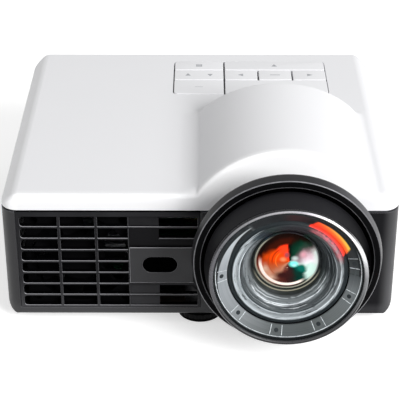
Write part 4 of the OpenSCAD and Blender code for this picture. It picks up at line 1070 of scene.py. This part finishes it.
steps = soft([(9.35, 12.9), (16.2, 12.9), (16.2, 21.9), (15.5, 22.0), (15.2, 22.2), (15.05, 22.5, 0.15),
              (14.1, 22.4, 0.15), (13.75, 21.4), (13.5, 21.25), (13.3, 21.35), (12.8, 21.2), (12.65, 20.3),
              (12.45, 20.4, 0.08), (12.2, 19.6), (12.1, 19.35), (11.5, 19.1), (11.35, 18.4), (10.75, 18.0),
              (10.6, 17.3), (10.35, 16.9), (9.6, 16.2), (9.35, 15.7)], 0.06, 3)
piece("baffle_steps", [lathe(steps, on_lens, 192)], ["lens_baffle"], "lens_grey", "lens_baffle")


def ball_cap(r, edge, middle, count=20):
    """Profile of a lens face from its rim to its middle."""
    sag = middle - edge
    ball = (r * r + sag * sag) / (2 * sag)
    radii = [r * (1 - i / count) for i in range(count + 1)]
    return [(x, middle - ball + math.copysign(math.sqrt(ball * ball - x * x), sag)) for x in radii]


eye = [(0, 13.3), (INNER_R - 0.05, 13.7)] + ball_cap(INNER_R - 0.05, 15.9, 19.3)
piece("coated_dome", [lathe(eye, on_lens, 160)], ["coated_lens"], "coated_glass", "inner_lens", sharp=40)
cell = soft([(7.6, 10.8), (9.3, 10.8), (9.3, 16.3, 0.12), (INNER_R, 16.3, 0.12), (INNER_R, 13.3),
             (7.6, 13.3)], 0.05)
piece("lens_cell", [lathe(cell, on_lens, 160)], ["lens_baffle"], "trim_black", "inner_lens_cell")

# (radius, level) of the sloping face of the band, inner edge and outer edge
BAND_IN, BAND_OUT = (16.4, 22.6), (19.1, 24.0)


def printed(loop, angle, height):
    """A flat shape on the band: u runs out along its slope, and v across it."""
    rise_r, rise_t = BAND_OUT[0] - BAND_IN[0], BAND_OUT[1] - BAND_IN[1]
    length = math.hypot(rise_r, rise_t)
    ur, ut = rise_r / length, rise_t / length
    c, s = math.cos(math.radians(angle)), math.sin(math.radians(angle))

    def on_band(u, v, w):
        r, t = BAND_IN[0] + ur * u - ut * w, BAND_IN[1] + ut * u + ur * w
        return on_lens(r * c - v * s, r * s + v * c, t)
    return plate([loop], 0.0, height, on_band, bevel=0)


band = soft([(17.3, 21.95), (NOSE_R - 0.6, 21.95), (NOSE_R - 0.6, 24), BAND_OUT, BAND_IN, (16.4, 22.2),
             (17.3, 22.2)], 0.1)
circle = [(19.36, 23.98), (19.56, 23.98), (19.56, 24.03), (19.36, 24.03)]
tick, dot = rect(0.1, 2.95, -0.08, 0.08), arc(1.6, 0, 0.62, 0, 360, 20)[:-1]
solids = [lathe(band, on_lens, 192)]
for middle in (12, 181, 222, 261, 299, 338):
    solids += [(*printed(tick, middle + d, 0.04), 1) for d in (-5, 5)]
    solids.append((*printed(dot, middle, 0.03), 2))
solids.append((*lathe(circle, on_lens, 192), 1))
mark_look("mark_light", (200, 203, 205), (30, 32, 33))
mark_look("mark_dark", (40, 43, 45), (24, 26, 27))
piece("scale_band", solids, ["scale_band", "mark_light", "mark_dark"], "scale_grey", "lens_scale_ring")

# ---------- camera, floor and light ----------

scene = bpy.context.scene
# The camera looks at a point of the front's middle plane, this high (mm), from this far away (m)
AIM_Z, AWAY = 36.95, 0.3935
PITCH, YAW = math.radians(29.9), math.radians(-0.2)
FLOOR_GLOW, WORLD_LIGHT = 0.55, 0.46


def aim(obj, at, way):
    """Puts an object at a place and turns it to look along a direction."""
    obj.location = at
    obj.rotation_mode = "QUATERNION"
    obj.rotation_quaternion = way.to_track_quat("-Z", "Y")


cam = add("camera", bpy.data.cameras.new("camera"))
cam.data.sensor_width, cam.data.lens = 36.0, 126.9
cam.data.clip_start, cam.data.clip_end = 0.01, 20
cam.data.shift_y = 0.0335
way = Vector((math.sin(YAW) * math.cos(PITCH), math.cos(YAW) * math.cos(PITCH), -math.sin(PITCH)))
aim(cam, Vector((0, Y_FRONT, AIM_Z)) * MM - way * AWAY, way)
scene.camera = cam

# Pale floor: near white for the camera and in reflections, still shaded where the object stands
look = Look("floor", Roughness=0.9, Specular_IOR_Level=0.0)
look.set(Base_Color=look.mix(look.noise(40, 3), (0.8, 0.8, 0.8), (0.84, 0.84, 0.84)))
look.set(Emission_Color=(1, 1, 1), Emission_Strength=look.times(look.seen(), FLOOR_GLOW))
bpy.ops.mesh.primitive_grid_add(x_subdivisions=8, y_subdivisions=8, size=12)
floor = bpy.context.object
floor.name = "floor"
floor.data.materials.append(LOOKS["floor"])

# White all round as the camera sees it, and a softer light on the object
scene.world = bpy.data.worlds.new("world")
scene.world.use_nodes = True
sky = Nodes(scene.world.node_tree)
back = sky.tree.nodes["Background"]
sky.feed(back.inputs["Strength"], sky.span(sky.seen(), WORLD_LIGHT, 1.0))
sky.feed(back.inputs["Color"], (1, 1, 1))

lamp = bpy.data.lights.new("key", "AREA")
lamp.energy, lamp.shape, lamp.size, lamp.size_y = 17.0, "RECTANGLE", 0.5, 0.5
stand = Vector((0.68, -0.87, 0.63))
aim(add("key", lamp), stand, Vector((0, 0, 0.03)) - stand)

scene.view_settings.view_transform = "Standard"
